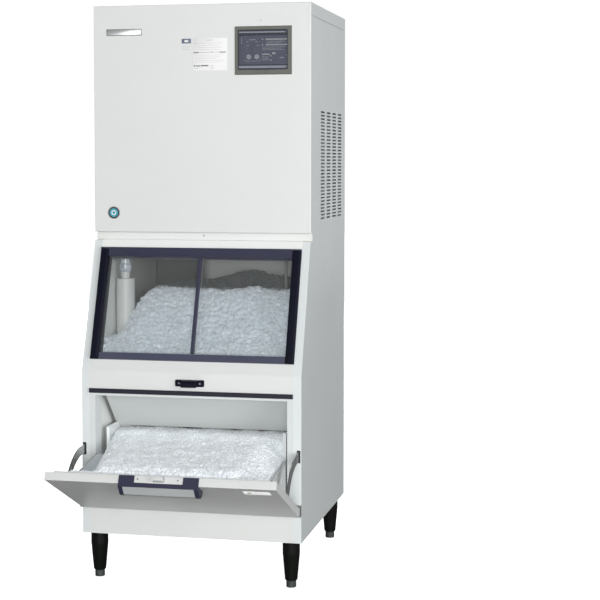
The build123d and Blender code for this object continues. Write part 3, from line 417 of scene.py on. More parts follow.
# the finish of every CAD node that shows
nodeSet = {
    "frontEnamel": "head_front_panel head_base lower_front_panel middle_rail door_shell",
    "railEnamel": "top_rail",
    "sideEnamel": "head_top_panel head_left_side head_right_side head_back_panel bin_left_side "
                  "bin_right_side bin_back_panel bin_bottom_panel",
    "mouldedFrame": "opening_frame door_liner",
    "linerGrey": "bin_liner",
    "foamCore": "bin_insulation",
    "navyMoulding": "window_top_rail pane_grip door_handle",
    # the bottom rail takes the paler navy, a painted highlight on its top face
    "navyPaintedHighlight": "window_bottom_rail",
    "navyDeep": "window_side_bars door_catch",
    "sealNavy": "opening_seal",
    "gripGrey": "handle_grip",
    "paneClear": "left_pane right_pane",
    "coverSmoke": "control_cover",
    "bezelOlive": "control_bezel",
    "panelSlate": "control_overlay key_1 key_2",
    "keyPale": "key_3 key_4",
    "blackMoulding": "stay_guides circulation_pump receiver_tank",
    "steelBrushed": "control_box hinge_brackets door_stays divider_panel",
    "baffleSteel": "baffle_plate",
    "guardWhite": "ice_guards",
    "legBlack": "legs compressor",
    "footGrey": "foot_1 foot_2 foot_3 foot_4",
    "tubePale": "water_tank ice_slope drain_tube",
    "elbowMilky": "drain_elbow",
    "bulbGrey": "thermostat_bulb",
    "strikeWhite": "door_strike",
    "copperPlated": "evaporator",
    "screwBright": "service_fittings",
}
for finishName, nodeNames in nodeSet.items():
    for nodeName in nodeNames.split():
        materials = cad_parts[nodeName].data.materials
        for index in range(len(materials)):
            materials[index] = finishes[finishName]
        if not materials:
            materials.append(finishes[finishName])
print("CAD nodes dressed:", sum(len(nodeNames.split()) for nodeNames in nodeSet.values()))


# geometry node trees

def geometryTree(name, inputs):
    tree = bpy.data.node_groups.new(name, "GeometryNodeTree")
    given, end = addSockets(
        tree, [("Geometry", "Geometry", None)] + inputs + [("Finish", "Material", None)],
        [("Geometry", "Geometry")])
    return tree, given, end


def putOnPoints(tree, points, piece, values):
    return addNode(tree, "GeometryNodeInstanceOnPoints",
                   {"Points": points, "Instance": piece, **values}).outputs[0]


def closeTree(tree, geometry, given, end, reshape=lambda geometry: geometry):
    # every tree ends by making real mesh, reshaped where asked, and giving it its finish
    real = addNode(tree, "GeometryNodeRealizeInstances", {0: geometry})
    paint = addNode(tree, "GeometryNodeSetMaterial", {"Geometry": reshape(real.outputs[0]),
                                                      "Material": given["Finish"]})
    setInputs(tree, end, {"Geometry": paint.outputs[0]})
    return tree


def pointVector(tree, label):
    return addNode(tree, "GeometryNodeInputNamedAttribute", {"Name": label},
                   data_type="FLOAT_VECTOR").outputs[0]


def grow(name, mesh, tree, values):
    # runs a tree on a starting mesh and keeps the result as plain mesh
    source = newObject(name + "Source", mesh)
    modifier = source.modifiers.new("grow", "NODES")
    modifier.node_group = tree
    for item in tree.interface.items_tree:
        if item.item_type == "SOCKET" and item.in_out == "INPUT" and item.name in values:
            modifier[item.identifier] = values[item.name]
    graph = bpy.context.evaluated_depsgraph_get()
    result = bpy.data.meshes.new_from_object(source.evaluated_get(graph))
    result.name = name
    source.modifiers.remove(modifier)
    bpy.data.objects.remove(source)
    return newObject(name, result)


# ball and rounding shape one chunk, least and most are its sizes, dents are its hollows
chunkSet = {"points": 3, "ball": 0.6, "rounding": 0.62, "least": (0.75, 0.7, 0.55),
            "most": (1.15, 1.05, 0.85), "density": 60000, "dentScale": 95, "dentDetail": 2}


def makeIceTree():
    # chunks of ice thrown on a surface, each one dented differently
    s = chunkSet
    fullTurn = 6.283
    tree, given, end = geometryTree("iceScatter", [
        ("Spacing", "Float", 0.018), ("Chunk", "Float", 0.028), ("Dent", "Float", 0.004),
        ("Seed", "Int", 3)])
    spread = addNode(tree, "GeometryNodeDistributePointsOnFaces", distribute_method="POISSON")
    setInputs(tree, spread, {"Mesh": given["Geometry"], "Distance Min": given["Spacing"],
                             "Density Max": s["density"], "Seed": given["Seed"]})
    cube = addNode(tree, "GeometryNodeMeshCube",
                   {f"Vertices {axis}": s["points"] for axis in "XYZ"})
    position = addNode(tree, "GeometryNodeInputPosition").outputs[0]
    unit = addNode(tree, "ShaderNodeVectorMath", {0: position}, operation="NORMALIZE")
    rounder = addNode(tree, "ShaderNodeMix", {
        0: s["rounding"], 4: position, 5: scaleNode(tree, unit.outputs[0], s["ball"])},
        data_type="VECTOR")
    chunk = addNode(tree, "GeometryNodeSetPosition", {"Geometry": cube.outputs["Mesh"],
                                                      "Position": rounder.outputs[1]})
    turn = addNode(tree, "FunctionNodeRandomValue", data_type="FLOAT_VECTOR")
    setInputs(tree, turn, {1: [fullTurn] * 3, "Seed": given["Seed"]})
    size = addNode(tree, "FunctionNodeRandomValue", {0: s["least"], 1: s["most"]},
                   data_type="FLOAT_VECTOR")
    placed = putOnPoints(tree, spread.outputs["Points"], chunk.outputs[0], {
        "Rotation": turn.outputs[0], "Scale": scaleNode(tree, size.outputs[0], given["Chunk"])})

    def dented(geometry):
        pattern = addNode(tree, "ShaderNodeTexNoise", {
            "Vector": addNode(tree, "GeometryNodeInputPosition").outputs[0],
            "Scale": s["dentScale"], "Detail": s["dentDetail"]})
        centred = addNode(tree, "ShaderNodeVectorMath", {0: pattern.outputs["Color"],
                                                         1: (0.5, 0.5, 0.5)}, operation="SUBTRACT")
        dent = addNode(tree, "GeometryNodeSetPosition", {
            "Geometry": geometry, "Offset": scaleNode(tree, centred.outputs[0], given["Dent"])})
        return addNode(tree, "GeometryNodeSetShadeSmooth", {"Geometry": dent.outputs[0]}).outputs[0]

    return closeTree(tree, placed, given, end, dented)


# shares of the head's radius, apart from the depth of the cross in metres
headSet = {"sides": 20, "top": 0.78, "crossLong": 1.05, "crossThin": 0.24, "crossDeep": 0.003}


def makeScrewTree():
    # one pan head with a cross recess on every point, facing the point's way
    tree, given, end = geometryTree("screwHeads", [("Radius", "Float", 0.004),
                                                   ("Rise", "Float", 0.0022)])
    topRadius, longSide, thinSide = (mathNode(tree, "MULTIPLY", given["Radius"], headSet[share])
                                     for share in ("top", "crossLong", "crossThin"))
    head = addNode(tree, "GeometryNodeMeshCone", {
        "Vertices": headSet["sides"], "Radius Bottom": given["Radius"], "Radius Top": topRadius,
        "Depth": given["Rise"]}, fill_type="NGON")
    bars = addNode(tree, "GeometryNodeJoinGeometry")
    for width, height in ((longSide, thinSide), (thinSide, longSide)):
        sides = addNode(tree, "ShaderNodeCombineXYZ", {0: width, 1: height,
                                                       2: headSet["crossDeep"]})
        bar = addNode(tree, "GeometryNodeMeshCube", {"Size": sides.outputs[0]})
        rise = addNode(tree, "ShaderNodeCombineXYZ", {2: given["Rise"]})
        lift = addNode(tree, "GeometryNodeTransform", {"Geometry": bar.outputs["Mesh"],
                                                       "Translation": rise.outputs[0]})
        setInputs(tree, bars, {0: lift.outputs[0]})
    cut = addNode(tree, "GeometryNodeMeshBoolean", {"Mesh 1": head.outputs["Mesh"],
                                                    "Mesh 2": bars.outputs[0]},
                  operation="DIFFERENCE")
    align = addNode(tree, "FunctionNodeAlignRotationToVector",
                    {"Vector": pointVector(tree, "facing")}, axis="Z")
    return closeTree(tree, putOnPoints(tree, given["Geometry"], cut.outputs[0],
                                       {"Rotation": align.outputs[0]}), given, end)


def makeBarTree():
    # small raised bars: one box on each point, sized by the point
    tree, given, end = geometryTree("printedBars", [])
    bar = addNode(tree, "GeometryNodeMeshCube", {"Size": (1, 1, 1)})
    placed = putOnPoints(tree, given["Geometry"], bar.outputs["Mesh"], {
        "Rotation": pointVector(tree, "barTurn"), "Scale": pointVector(tree, "barSize")})
    return closeTree(tree, placed, given, end)


iceTree, screwTree, barTree = (make() for make in (makeIceTree, makeScrewTree, makeBarTree))


def pointMesh(name, points, **vectors):
    mesh = bpy.data.meshes.new(name)
    mesh.from_pydata([tuple(point) for point in points], [], [])
    for label, values in vectors.items():
        attribute = mesh.attributes.new(label, "FLOAT_VECTOR", "POINT")
        for index, value in enumerate(values):
            attribute.data[index].vector = value
    return mesh


# places on the tilted door are given on the shut door; its liner's inner face starts at
# linerFrom, and slopes down from linerTop to linerFoot once the door is open
doorSet = {"pivotY": -15.7, "pivotZ": 248.1, "openAngle": 65, "outer": -32, "top": 599,
           "linerFrom": -21, "linerTop": 266, "linerFoot": 264}


def doorWay(y, z):
    # a direction on the shut door, turned with it
    a = rad(doorSet["openAngle"])
    return Vector((0, y * math.cos(a) - z * math.sin(a), y * math.sin(a) + z * math.cos(a)))


def onDoor(x, y, z):
    moved = doorWay(y - doorSet["pivotY"], z - doorSet["pivotZ"])
    return mm(x, doorSet["pivotY"] + moved.y, doorSet["pivotZ"] + moved.z)


def doorFloor(x, y):
    # height of the open door's inner face under the loose ice
    slope = math.tan(rad(90 - doorSet["openAngle"]))
    return max(doorSet["linerFoot"], doorSet["linerTop"] - (y - doorSet["linerFrom"]) * slope)


# ice, in millimetres: pairs are a start and a run, lumps are size, layer and height
iceSet = {
    "halfWidth": 308, "front": 46, "frontLevel": 708, "plateau": 888, "slopeRun": 190,
    "slopeShare": 0.8, "slopeStart": 0.06, "ridge": 26, "ridgeBack": (430, 120),
    "ridgeLeft": (-120, 150), "ridgeRight": (60, 140), "ridgeFall": 0.8, "leftDrop": 128,
    "leftRun": 122, "leftBack": (70, 170), "lumps": [(90, 3, 12), (40, 8, 6)], "lumpBack": (40, 60),
    "tube": (-276.5, 223, 34), "floor": (60, 690, 640),
}
looseSet = {
    "lip": (-305, 412), "inner": (180, 450), "crest": [(-305, -182), (58, -253), (210, -296)],
    "crestFall": 1.7, "crestRound": 8, "rightDrop": 45, "rightEdge": 290, "rightRun": 88,
    "rightBack": (60, 80), "lipEase": 9, "lipRun": (-300, 30), "lumps": [(60, 21, 5), (24, 2, 2.5)],
    "sill": 14, "overDoor": 5, "least": 250, "floor": 270,
}


def smooth(t):
    t = min(max(t, 0), 1)
    return t * t * (3 - 2 * t)


def ease(value, startAndRun):
    # 0 before the start, 1 after the run
    start, run = startAndRun
    return smooth((value - start) / run)


def lumps(x, y, layers):
    return sum(noise.noise(Vector((x / size, y / size, layer))) * height
               for size, layer, height in layers)


def upperLevel(x, y):
    # height of the heap seen through the window
    s = iceSet
    rise = smooth((y - s["front"]) / s["slopeRun"] * s["slopeShare"] + s["slopeStart"])
    level = s["frontLevel"] + (s["plateau"] - s["frontLevel"]) * rise
    level += s["ridge"] * ease(y, s["ridgeBack"]) * ease(x, s["ridgeLeft"]) * (
        1 - s["ridgeFall"] * ease(x, s["ridgeRight"]))
    side = ease(x, (-s["halfWidth"], s["leftRun"]))
    level -= s["leftDrop"] * (1 - side) * ease(y, s["leftBack"])
    return level + lumps(x, y, s["lumps"]) * ease(y, s["lumpBack"])


def upperFloor(x, y):
    edge, before, behind = iceSet["floor"]
    return behind if y > edge else before


def alongLine(points, t):
    # straight runs between given points, held level past the last one
    for (t0, v0), (t1, v1) in zip(points, points[1:]):
        if t <= t1:
            return v0 + (v1 - v0) * (t - t0) / (t1 - t0)
    return points[-1][1]


def lowerLevel(x, y):
    # height of the loose ice in the opening and on the door: one slope, falling at its sides
    s = looseSet
    base = alongLine([s["lip"], s["inner"]], y)
    left = max(alongLine(s["crest"], y) - x, 0)
    left = s["crestFall"] * (math.hypot(left, s["crestRound"]) - s["crestRound"])
    side = s["rightDrop"] * (1 - smooth((s["rightEdge"] - x) / s["rightRun"])) * (
        1 - ease(y, s["rightBack"]))
    side += s["lipEase"] * (1 - ease(y, s["lipRun"]))
    floor = doorFloor(x, y) + s["overDoor"] if y < s["sill"] else s["least"]
    return max(base - left - side + lumps(x, y, s["lumps"]), floor)


def besideTube(x, y):
    tubeX, tubeY, reach = iceSet["tube"]
    return math.hypot(x - tubeX, y - tubeY) > reach


def gridPoints(work, xs, ys, height):
    return [[work.verts.new(mm(x, y, height(x, y))) for x in xs] for y in ys]


def heapBody(name, xs, ys, level, floor):
    # a closed heap: grid on top, walls and floor below
    def build(work):
        top = gridPoints(work, xs, ys, level)
        low = gridPoints(work, xs, ys, floor)
        lastX, lastY = len(xs) - 1, len(ys) - 1
        for j in range(lastY):
            for i in range(lastX):
                work.faces.new((top[j][i], top[j][i + 1], top[j + 1][i + 1], top[j + 1][i]))
                work.faces.new((low[j][i], low[j + 1][i], low[j + 1][i + 1], low[j][i + 1]))
        for j in range(lastY):
            for i in (0, lastX):
                work.faces.new((top[j][i], top[j + 1][i], low[j + 1][i], low[j][i]))
        for i in range(lastX):
            for j in (0, lastY):
                work.faces.new((top[j][i], low[j][i], low[j][i + 1], top[j][i + 1]))
    return newObject(name, meshFrom(name, build))


def heapSkin(name, xs, ys, level):
    # the heap's upper skin, left open round the drain tube
    def build(work):
        top = gridPoints(work, xs, ys, level)
        for j in range(len(ys) - 1):
            for i in range(len(xs) - 1):
                if besideTube((xs[i] + xs[i + 1]) / 2, (ys[j] + ys[j + 1]) / 2):
                    work.faces.new((top[j][i], top[j][i + 1], top[j + 1][i + 1], top[j + 1][i]))
    return meshFrom(name, build)


def span(a, b, count):
    return [a + (b - a) * i / count for i in range(count + 1)]


def joinMeshes(name, things):
    work = bmesh.new()
    for thing in things:
        work.from_mesh(thing.data)
    mesh = bpy.data.meshes.new(name)
    work.to_mesh(mesh)
    work.free()
    for thing in things:
        bpy.data.objects.remove(thing)
    return newObject(name, mesh)


# across and deep are from, to and steps; under is how far the body lies below its chunks
chips = {"Spacing": 0.0066, "Chunk": 0.0125, "Dent": 0.0035}
heapSet = {
    "stored_ice_cubes": {
        "across": (-299, 299, 44), "deep": (55, 677, 46), "under": 4, "level": upperLevel,
        "floor": upperFloor, "finish": "iceCubes",
        "chunks": {"Spacing": 0.0125, "Chunk": 0.0235, "Dent": 0.006, "Seed": 11}},
    "loose_ice_in_bin": {
        "across": (-279, 279, 40), "deep": (17, 204, 22), "under": 3, "level": lowerLevel,
        "floor": lambda x, y: looseSet["floor"], "finish": "iceChips",
        "chunks": {**chips, "Seed": 5}},
    "loose_ice_on_door": {
        "across": (-284, 284, 40), "deep": (-298, 14, 30), "under": 3, "level": lowerLevel,
        "floor": lambda x, y: doorFloor(x, y) + 3, "finish": "iceChips",
        "chunks": {**chips, "Seed": 9}},
}


def makeHeap(name):
    # a closed body under a skin of single chunks
    s = heapSet[name]
    xs, ys = span(*s["across"]), span(*s["deep"])
    level, floor = s["level"], s["floor"]
    body = heapBody(name + "Body", xs, ys,
                    lambda x, y: max(level(x, y) - s["under"], floor(x, y) + 1), floor)
    chunks = grow(name + "Chunks", heapSkin(name + "Skin", xs, ys, level), iceTree,
                  {**s["chunks"], "Finish": finishes[s["finish"]]})
    return finishPiece(joinMeshes(name, [body, chunks]), s["finish"], cabinet)


upperIce = makeHeap("stored_ice_cubes")
lowerIce = makeHeap("loose_ice_in_bin")
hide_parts("ice_heap")
doorIce = makeHeap("loose_ice_on_door")
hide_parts("door_ice")
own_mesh(doorIce)
for thing in (upperIce, lowerIce, doorIce):
    print("ice:", thing.name, len(thing.data.polygons), "faces")


# screws: places in millimetres, heads in metres
backPlane = 743
screwSet = {
    "front_screws": {
        "head": {"Radius": 0.0036}, "finish": "screwBright", "facing": forward,
        "places": [(-33, -4, 628.5), (33, -4, 628.5), (2.3, 162, 1075.5)]
                  + [(x, -2, z) for x in (-338, 338) for z in (238, 258)]},
    "rear_screws": {
        "head": {"Radius": 0.0045}, "finish": "screwBright", "facing": backward,
        "places": [(x, backPlane, z) for x in (-320, 320) for z in (1100, 1400, 1720)]
                  + [(x, backPlane, z) for x in (-320, 0, 320) for z in (180, 600, 1030)]
                  + [(x, backPlane, 1778) for x in (-300, 0, 300)]},
    "door_top_screws": {
        "head": {"Radius": 0.0052, "Rise": 0.002}, "finish": "screwDull", "facing": doorWay(0, 1),
        "places": [(-62.5, -17.5), (57.8, -17.5)]},
}
seated = 0.0009     # how far a head's foot stands over its sheet, in metres


def makeScrews(name, body):
    s = screwSet[name]
    if body == "door":
        points = [onDoor(x, y, doorSet["top"] + seated * 1000) for x, y in s["places"]]
    else:
        points = [mm(*place) + s["facing"] * seated for place in s["places"]]
    screws = grow(name, pointMesh(name, points, facing=[s["facing"]] * len(points)), screwTree,
                  {**s["head"], "Finish": finishes[s["finish"]]})
    finishPiece(screws, None, body)


makeScrews("front_screws", cabinet)
makeScrews("rear_screws", cabinet)
makeScrews("door_top_screws", "door")
print("screws placed")


# flat pieces, in millimetres: plates, printed bars and rings

def platePiece(name, corner, size, radius, thickness, finishName,
               body=cabinet, lie=frontLie):
    # a flat plate with round corners and an eased face
    across, up, out = lie
    width, height, radius, thickness = (value / 1000 for value in (*size, radius, thickness))
    steps = 5
    edge = min(thickness * 0.4, radius * 0.5)

    def build(work):
        ring = []
        for cornerX, cornerY, begin in (
                (width - radius, radius, -90), (width - radius, height - radius, 0),
                (radius, height - radius, 90), (radius, radius, 180)):
            for step in range(steps + 1):
                angle = rad(begin + 90 * step / steps)
                ring.append((cornerX + radius * math.cos(angle),
                             cornerY + radius * math.sin(angle)))
        layers = []
        for depth, inset in ((0, 0), (thickness - edge, 0), (thickness, edge)):
            layer = []
            for px, py in ring:
                dx = (px - width / 2) * (1 - 2 * inset / width)
                dy = (py - height / 2) * (1 - 2 * inset / height)
                layer.append(work.verts.new(corner + across * (dx + width / 2)
                                            + up * (dy + height / 2) + out * depth))
            layers.append(layer)
        count = len(ring)
        for lower, upper in zip(layers, layers[1:]):
            for i in range(count):
                work.faces.new((lower[i], lower[(i + 1) % count], upper[(i + 1) % count], upper[i]))
        work.faces.new(layers[-1])
        work.faces.new(list(reversed(layers[0])))
    return finishPiece(newObject(name, meshFrom(name, build)), finishName, body, 40)


def barPiece(name, origin, bars, thickness, finishName, body=cabinet,
             lie=frontLie):
    # bars given as from left, from bottom, width and height
    across, up, out = lie
    turn = tuple(Matrix(lie).transposed().to_euler())
    places = [origin + (across * (left + width / 2) + up * (low + height / 2)
                        + out * thickness / 2) / 1000 for left, low, width, height in bars]
    sizes = [(width / 1000, height / 1000, thickness / 1000) for _, _, width, height in bars]
    mesh = pointMesh(name, places, barSize=sizes, barTurn=[turn] * len(places))
    return finishPiece(grow(name, mesh, barTree, {"Finish": finishes[finishName]}), None, body)


def ringPiece(name, centre, inner, outer, low, high, finishName, slotName="key_plastic",
              body=cabinet, sides=48, lie=frontLie):
    # a flat ring, or a disc where the inner radius is 0, eased on its outer edge
    across, up, out = lie
    eased = 0.3

    def circle(work, radius, depth):
        if not radius:
            return [work.verts.new(centre + out * depth / 1000)]
        angles = [2 * math.pi * i / sides for i in range(sides)]
        return [work.verts.new(centre + (across * math.cos(angle) + up * math.sin(angle))
                               * radius / 1000 + out * depth / 1000) for angle in angles]

    def build(work):
        profile = ((inner, low), (outer, low), (outer, high - eased), (outer - eased, high),
                   (inner, high))
        loops = [circle(work, radius, depth) for radius, depth in profile]
        for first, second in zip(loops, loops[1:] + loops[:1]):
            if len(first) == len(second) == 1:
                continue
            for i in range(sides):
                corners = [loop[j % len(loop)] for loop, j in
                           ((first, i), (first, i + 1), (second, i + 1), (second, i))]
                work.faces.new(list(dict.fromkeys(corners)))
    return finishPiece(newObject(name, meshFrom(name, build)), finishName, body, 40)


frontPlane = 142        # the head's front face, behind the bin's lower front by this

# from left, from the floor, width and height; the lists are the info label's bars
labelSet = {
    "nameplate": (-308, 1704, 116, 21), "rim": 2.2, "info": (-26, 1592, 110.6, 101),
    "small": (-62, 1676.6, 30.5, 14.8), "side": (-62, 1654, 30.5, 20),
    "dark": [(2, 54, 17, 3.4), (58, 55.5, 5, 2.6), (86, 54.5, 20, 3.4), (3, 12, 5, 5),
             (10, 12.5, 14, 3.6), (26, 13, 24, 4.2)],
    "faint": [(20, 55, 36, 2.2), (64, 55.6, 20, 2), (56, 13, 12, 2), (56, 6.5, 12, 2),
              (5, 6.5, 14, 1.6), (8, 82, 6, 4), (44, 93, 20, 2)]
             + [(17, 84 - row * 6.5, 78 - 9 * (row % 2), 1.1) for row in range(4)]
             + [(6, 47 - row * 5.4, 96 - 13 * (row % 3), 1.0) for row in range(5)],
}


def makeHeadLabels():
    left, low, width, height = labelSet["nameplate"]
    rim = labelSet["rim"]
    platePiece("nameplate_rim", mm(left, frontPlane, low), (width, height), 1.8, 1.6, "plateShadow")
    platePiece("nameplate_face", mm(left + rim, frontPlane - 1.3, low + rim),
               (width - 2 * rim, height - 2 * rim), 1.0, 0.8, "plateSilver")
    left, low, *size = labelSet["info"]
    platePiece("info_label", mm(left, frontPlane, low), size, 1.5, 0.4, "labelWhite")
    face = mm(left, frontPlane - 0.4, low)
    barPiece("info_label_dark_bars", face, labelSet["dark"], 0.15, "labelInk")
    barPiece("info_label_faint_bars", face, labelSet["faint"], 0.12, "labelFaint")
    left, low, *size = labelSet["small"]
    platePiece("small_label", mm(left, frontPlane, low), size, 1.2, 0.4, "labelBlue")
    barPiece("small_label_mark", mm(left, frontPlane - 0.4, low), [(9, 4.2, 12.5, 6.4)], 0.12,
             "labelWhite")
    left, low, *size = labelSet["side"]
    barPiece("side_print", mm(left, frontPlane, low),
             [(2, 3 + 5.2 * row, 26 - 5 * (row % 2), 1.2) for row in range(3)], 0.12, "labelFaint")


# the label lies on the door's outer face, from left, from the top; a dark plate on its top edge is
# painted shade in the gap round the strike
doorLabelSet = {"label": (242, 31, 79, 34), "dot": (17, 17, 7), "strikeGapShade": (-17, -24.8, 34, 15.6)}


def makeDoorLabels():
    doorOut, doorUp, doorIn = doorWay(-1, 0), doorWay(0, 1), doorWay(1, 0)
    lie = (right, doorUp, doorOut)
    left, fromTop, width, height = doorLabelSet["label"]
    corner = onDoor(left, doorSet["outer"], doorSet["top"] - fromTop - height)
    # the label glows with painted light
    platePiece("door_label", corner, (width, height), 2, 0.4, "labelPaintedGlow", "door",
               lie)
    face = corner + doorOut * 0.0004
    x, z, radius = doorLabelSet["dot"]
    ringPiece("door_label_dot", face + (right * x + doorUp * z) / 1000, 0, radius, 0, 0.15,
              "labelGreen", "key_plastic", "door", 24, lie)
    # painted shade: a dark plate where the gap round the strike lies in shadow
    left, back, *size = doorLabelSet["strikeGapShade"]
    platePiece("strike_gap_shade", onDoor(left, back, doorSet["top"]), size, 3, 0.6, "plateShadow",
               "door", (right, doorIn, doorUp))
    barPiece("door_label_bars", face,
             [(28, 24 - 6 * row, 44 - 8 * (row % 2), 1.6) for row in range(3)], 0.12, "labelFaint",
             "door", lie)


# every ring: inner and outer radius, foot and top
badgeSet = {
    "centre": (-287.8, 1146.5), "badge_rim": (14.2, 20, 0, 1.6),
    "badge_rim_line": (18.4, 19.4, 1.5, 1.75), "badge_disc": (0, 14.1, 0, 1.3),
    "badge_pip": (5.0, 8.2, 1.25, 1.5),
    "studCentre": (191.2, 1743.4), "front_stud": (0, 2.0, 0, 0.8),
}


def makeBadge():
    x, z = badgeSet["centre"]
    centre = mm(x, frontPlane, z)
    ringPiece("badge_rim", centre, *badgeSet["badge_rim"], "blackMoulding", "black_plastic")
    for name, finishName in (("badge_rim_line", "labelWhite"), ("badge_disc", "badgeTeal"),
                             ("badge_pip", "labelWhite")):
        ringPiece(name, centre, *badgeSet[name], finishName)
    x, z = badgeSet["studCentre"]
    ringPiece("front_stud", mm(x, frontPlane, z), *badgeSet["front_stud"], "plateSilver",
              "fitting_metal", cabinet, 20)


# marks on the control plate: from left, from the floor, width and height
plateLeft, plateWidth = 119.3, 159
controlSet = {
    "face": 154, "keys": [(151, 1654.5), (176.5, 1654.5)], "keyProud": 1.8,
    "keyRing": (6.4, 7.1, 0, 0.2), "lid": (119.6, 139, 1593),
    "pale": [(204.3, 1684.6, 73, 3.8), (204.3, 1667.8, 73, 3.8), (192.6, 1684.8, 3.8, 3.8),
             (192.6, 1667.6, 3.8, 3.8), (192.8, 1638.6, 24.6, 3.6), (218.5, 1634, 4.5, 3.4),
             (225, 1640.5, 11, 5.5)],
    "dull": [(152, 1684.5, 20, 2.6), (143, 1677.8, 6, 2.8), (173, 1678, 6, 2.6),
             (142, 1667, 10, 1.8), (174.5, 1667, 11, 1.8), (137.5, 1619.5, 50, 1.2),
             (137.5, 1619.5, 1, 9), (187, 1619.5, 1, 9), (126.5, 1673, 1.6, 20),
             (249, 1628, 13, 3.4), (268, 1636, 5, 2.2), (218, 1620, 6, 4)],
    "black": [(plateLeft + 1, 1698.6, plateWidth - 1, 3.6),
              (plateLeft + 1, 1605.6, plateWidth - 1, 3.4)],
    "line": [(plateLeft + 2, 1601.4, plateWidth - 4, 2.4), (274.6, 1610, 1.6, 76)],
    # the cover's own lines, from its lower left corner
    "edges": [(0, 0, 158.8, 2.6), (0, 119.2, 158.8, 2.6), (0, 2.6, 2.6, 116.6),
              (156.2, 2.6, 2.6, 116.6), (2.6, 12.6, 153.6, 2.6), (2.6, 109, 153.6, 2.6)],
    # painted reflections on the cover, from its lower left corner
    "paintedReflections": [(3.4, 112.6, 148, 4.4), (3.4, 4.2, 148, 7.4)],
}
for row in range(3):
    controlSet["dull"] += [(207, 1680 - row * 3.0, 58 - 8 * row, 1.2),
                           (192.8, 1662 - row * 4.4, 72 - 10 * (row % 2), 1.6),
                           (192.8, 1631.5 - row * 4.8, 21, 1.8)]


def makeControlMarks():
    s = controlSet
    face = mm(0, s["face"], 0)
    barPiece("control_print_pale", face, s["pale"], 0.2, "labelWhite")
    barPiece("control_print_dull", face, s["dull"], 0.15, "labelFaint")
    barPiece("control_black_lines", face, s["black"], 0.4, "blackMoulding")
    barPiece("control_pale_line", face, s["line"], 0.3, "labelWhite")
    lid = mm(*s["lid"])
    barPiece("cover_edge_lines", lid, s["edges"], 0.3, "blackMoulding",
             "control_cover")
    # bars of painted reflection lying on the cover
    barPiece("cover_painted_reflections", lid, s["paintedReflections"], 0.2, "coverReflectionPaint", "control_cover")
    for number, (x, z) in enumerate(s["keys"], start=1):
        ringPiece(f"key_ring_{number}", mm(x, s["face"] - s["keyProud"], z), *s["keyRing"],
                  "labelFaint", "key_plastic", f"key_{number}", 32)


makeHeadLabels()
makeDoorLabels()
makeBadge()
makeControlMarks()
print("labels, badge and control marks made")


# floor, light and camera
stageSet = {"half": 12.0, "tone": (0.90, 0.905, 0.905), "lighter": 1.02, "bounce": 0.20,
            "lift": 0.84}
lampSet = {
    "keyLight": {"place": (1.8, -9.2, 1.4), "aim": (0, -0.1, 0.9), "power": 450, "size": 3.6},
    "fillLight": {"place": (6.5, -5.0, 1.7), "aim": (0, 0.1, 0.9), "power": 265, "size": 3.6},
    "backLight": {"place": (-2.4, 8.6, 2.7), "aim": (0, 0.2, 0.9), "power": 520, "size": 4.2},
}
roomSet = {"horizon": 0.62, "zenith": 0.09, "zenithFrom": 0.75, "backdrop": 1.03,
           "tone": (0.985, 0.995, 1.0)}
cameraSet = {"place": (1285.6, -4575.3, 1307.1), "yaw": 12.277, "pitch": -3.754, "lens": 93.27,
             "sensor": 36, "shiftX": 0.03, "shiftY": -0.06, "reach": 60}


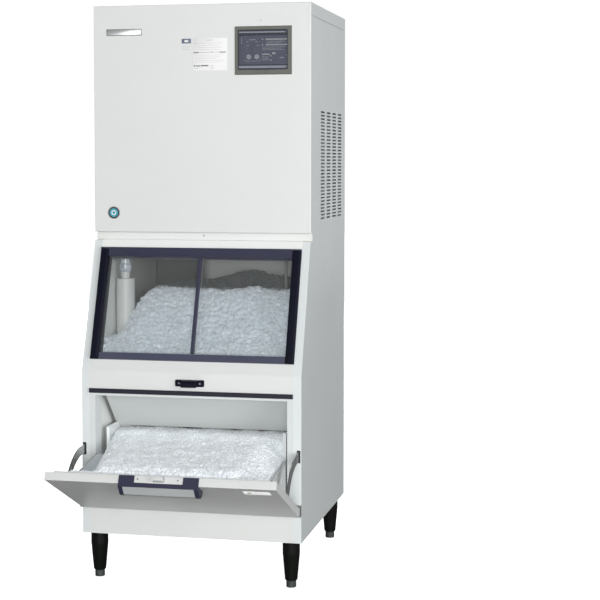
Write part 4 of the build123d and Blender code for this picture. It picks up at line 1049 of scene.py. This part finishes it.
def makeFloor():
    # pale to the eye, duller to the light that bounces off it
    size = stageSet["half"]
    corners = ((-size, -size), (size, -size), (size, size), (-size, size))
    mesh = meshFrom("floor", lambda work: work.faces.new(
        [work.verts.new((x, y, 0)) for x, y in corners]))
    floor = newObject("floor", mesh)
    tone = stageSet["tone"]
    lighter = tuple(c * stageSet["lighter"] for c in tone)
    paper = coat("paleFloor", tone, lighter, (0.7, 0.85), (60, 0.02))
    tree = paper.node_tree
    shader = tree.nodes["Principled BSDF"]
    seen = addNode(tree, "ShaderNodeLightPath").outputs["Is Camera Ray"]
    blend = addNode(tree, "ShaderNodeMix", {0: seen, 6: (*[stageSet["bounce"]] * 3, 1),
                                            7: baseSource(shader)}, data_type="RGBA")
    setInputs(tree, shader, {
        "Base Color": blend.outputs[2],
        "Emission Strength": mathNode(tree, "MULTIPLY", seen, stageSet["lift"])})
    mesh.materials.append(paper)


def makeLamps():
    for name, values in lampSet.items():
        lamp = bpy.data.lights.new(name, "AREA")
        lamp.shape = "DISK"
        lamp.size = values["size"]
        lamp.energy = values["power"]
        thing = newObject(name, lamp)
        thing.location = values["place"]
        thing.visible_camera = False
        aim = Vector(values["aim"]) - Vector(values["place"])
        thing.rotation_euler = aim.to_track_quat("-Z", "Y").to_euler()


def makeRoom():
    # a white backdrop to the camera, a room that dims towards its ceiling to everything else
    world = bpy.data.worlds.new("studio")
    bpy.context.scene.world = world
    world.use_nodes = True
    tree = world.node_tree
    way = addNode(tree, "ShaderNodeTexCoord").outputs["Generated"]
    parts = addNode(tree, "ShaderNodeSeparateXYZ", {0: way})
    room = addNode(tree, "ShaderNodeMapRange", {
        "Value": parts.outputs["Z"], "From Min": 0.0, "From Max": roomSet["zenithFrom"],
        "To Min": roomSet["horizon"], "To Max": roomSet["zenith"]},
        interpolation_type="SMOOTHSTEP")
    seen = addNode(tree, "ShaderNodeLightPath").outputs["Is Camera Ray"]
    strength = addNode(tree, "ShaderNodeMix", {0: seen, 2: room.outputs[0],
                                               3: roomSet["backdrop"]})
    setInputs(tree, tree.nodes["Background"], {"Color": (*roomSet["tone"], 1),
                                               "Strength": strength.outputs[0]})
    bpy.context.scene.view_settings.view_transform = "Standard"


def makeCamera():
    lens = bpy.data.cameras.new("camera")
    lens.lens = cameraSet["lens"]
    lens.sensor_width = cameraSet["sensor"]
    lens.shift_x = cameraSet["shiftX"]
    lens.shift_y = cameraSet["shiftY"]
    lens.clip_end = cameraSet["reach"]
    view = newObject("camera", lens)
    view.location = mm(*cameraSet["place"])
    view.rotation_euler = Euler((rad(90 + cameraSet["pitch"]), 0, rad(cameraSet["yaw"])))
    bpy.context.scene.camera = view


makeFloor()
makeLamps()
makeRoom()
makeCamera()
print("stage, light and camera set")
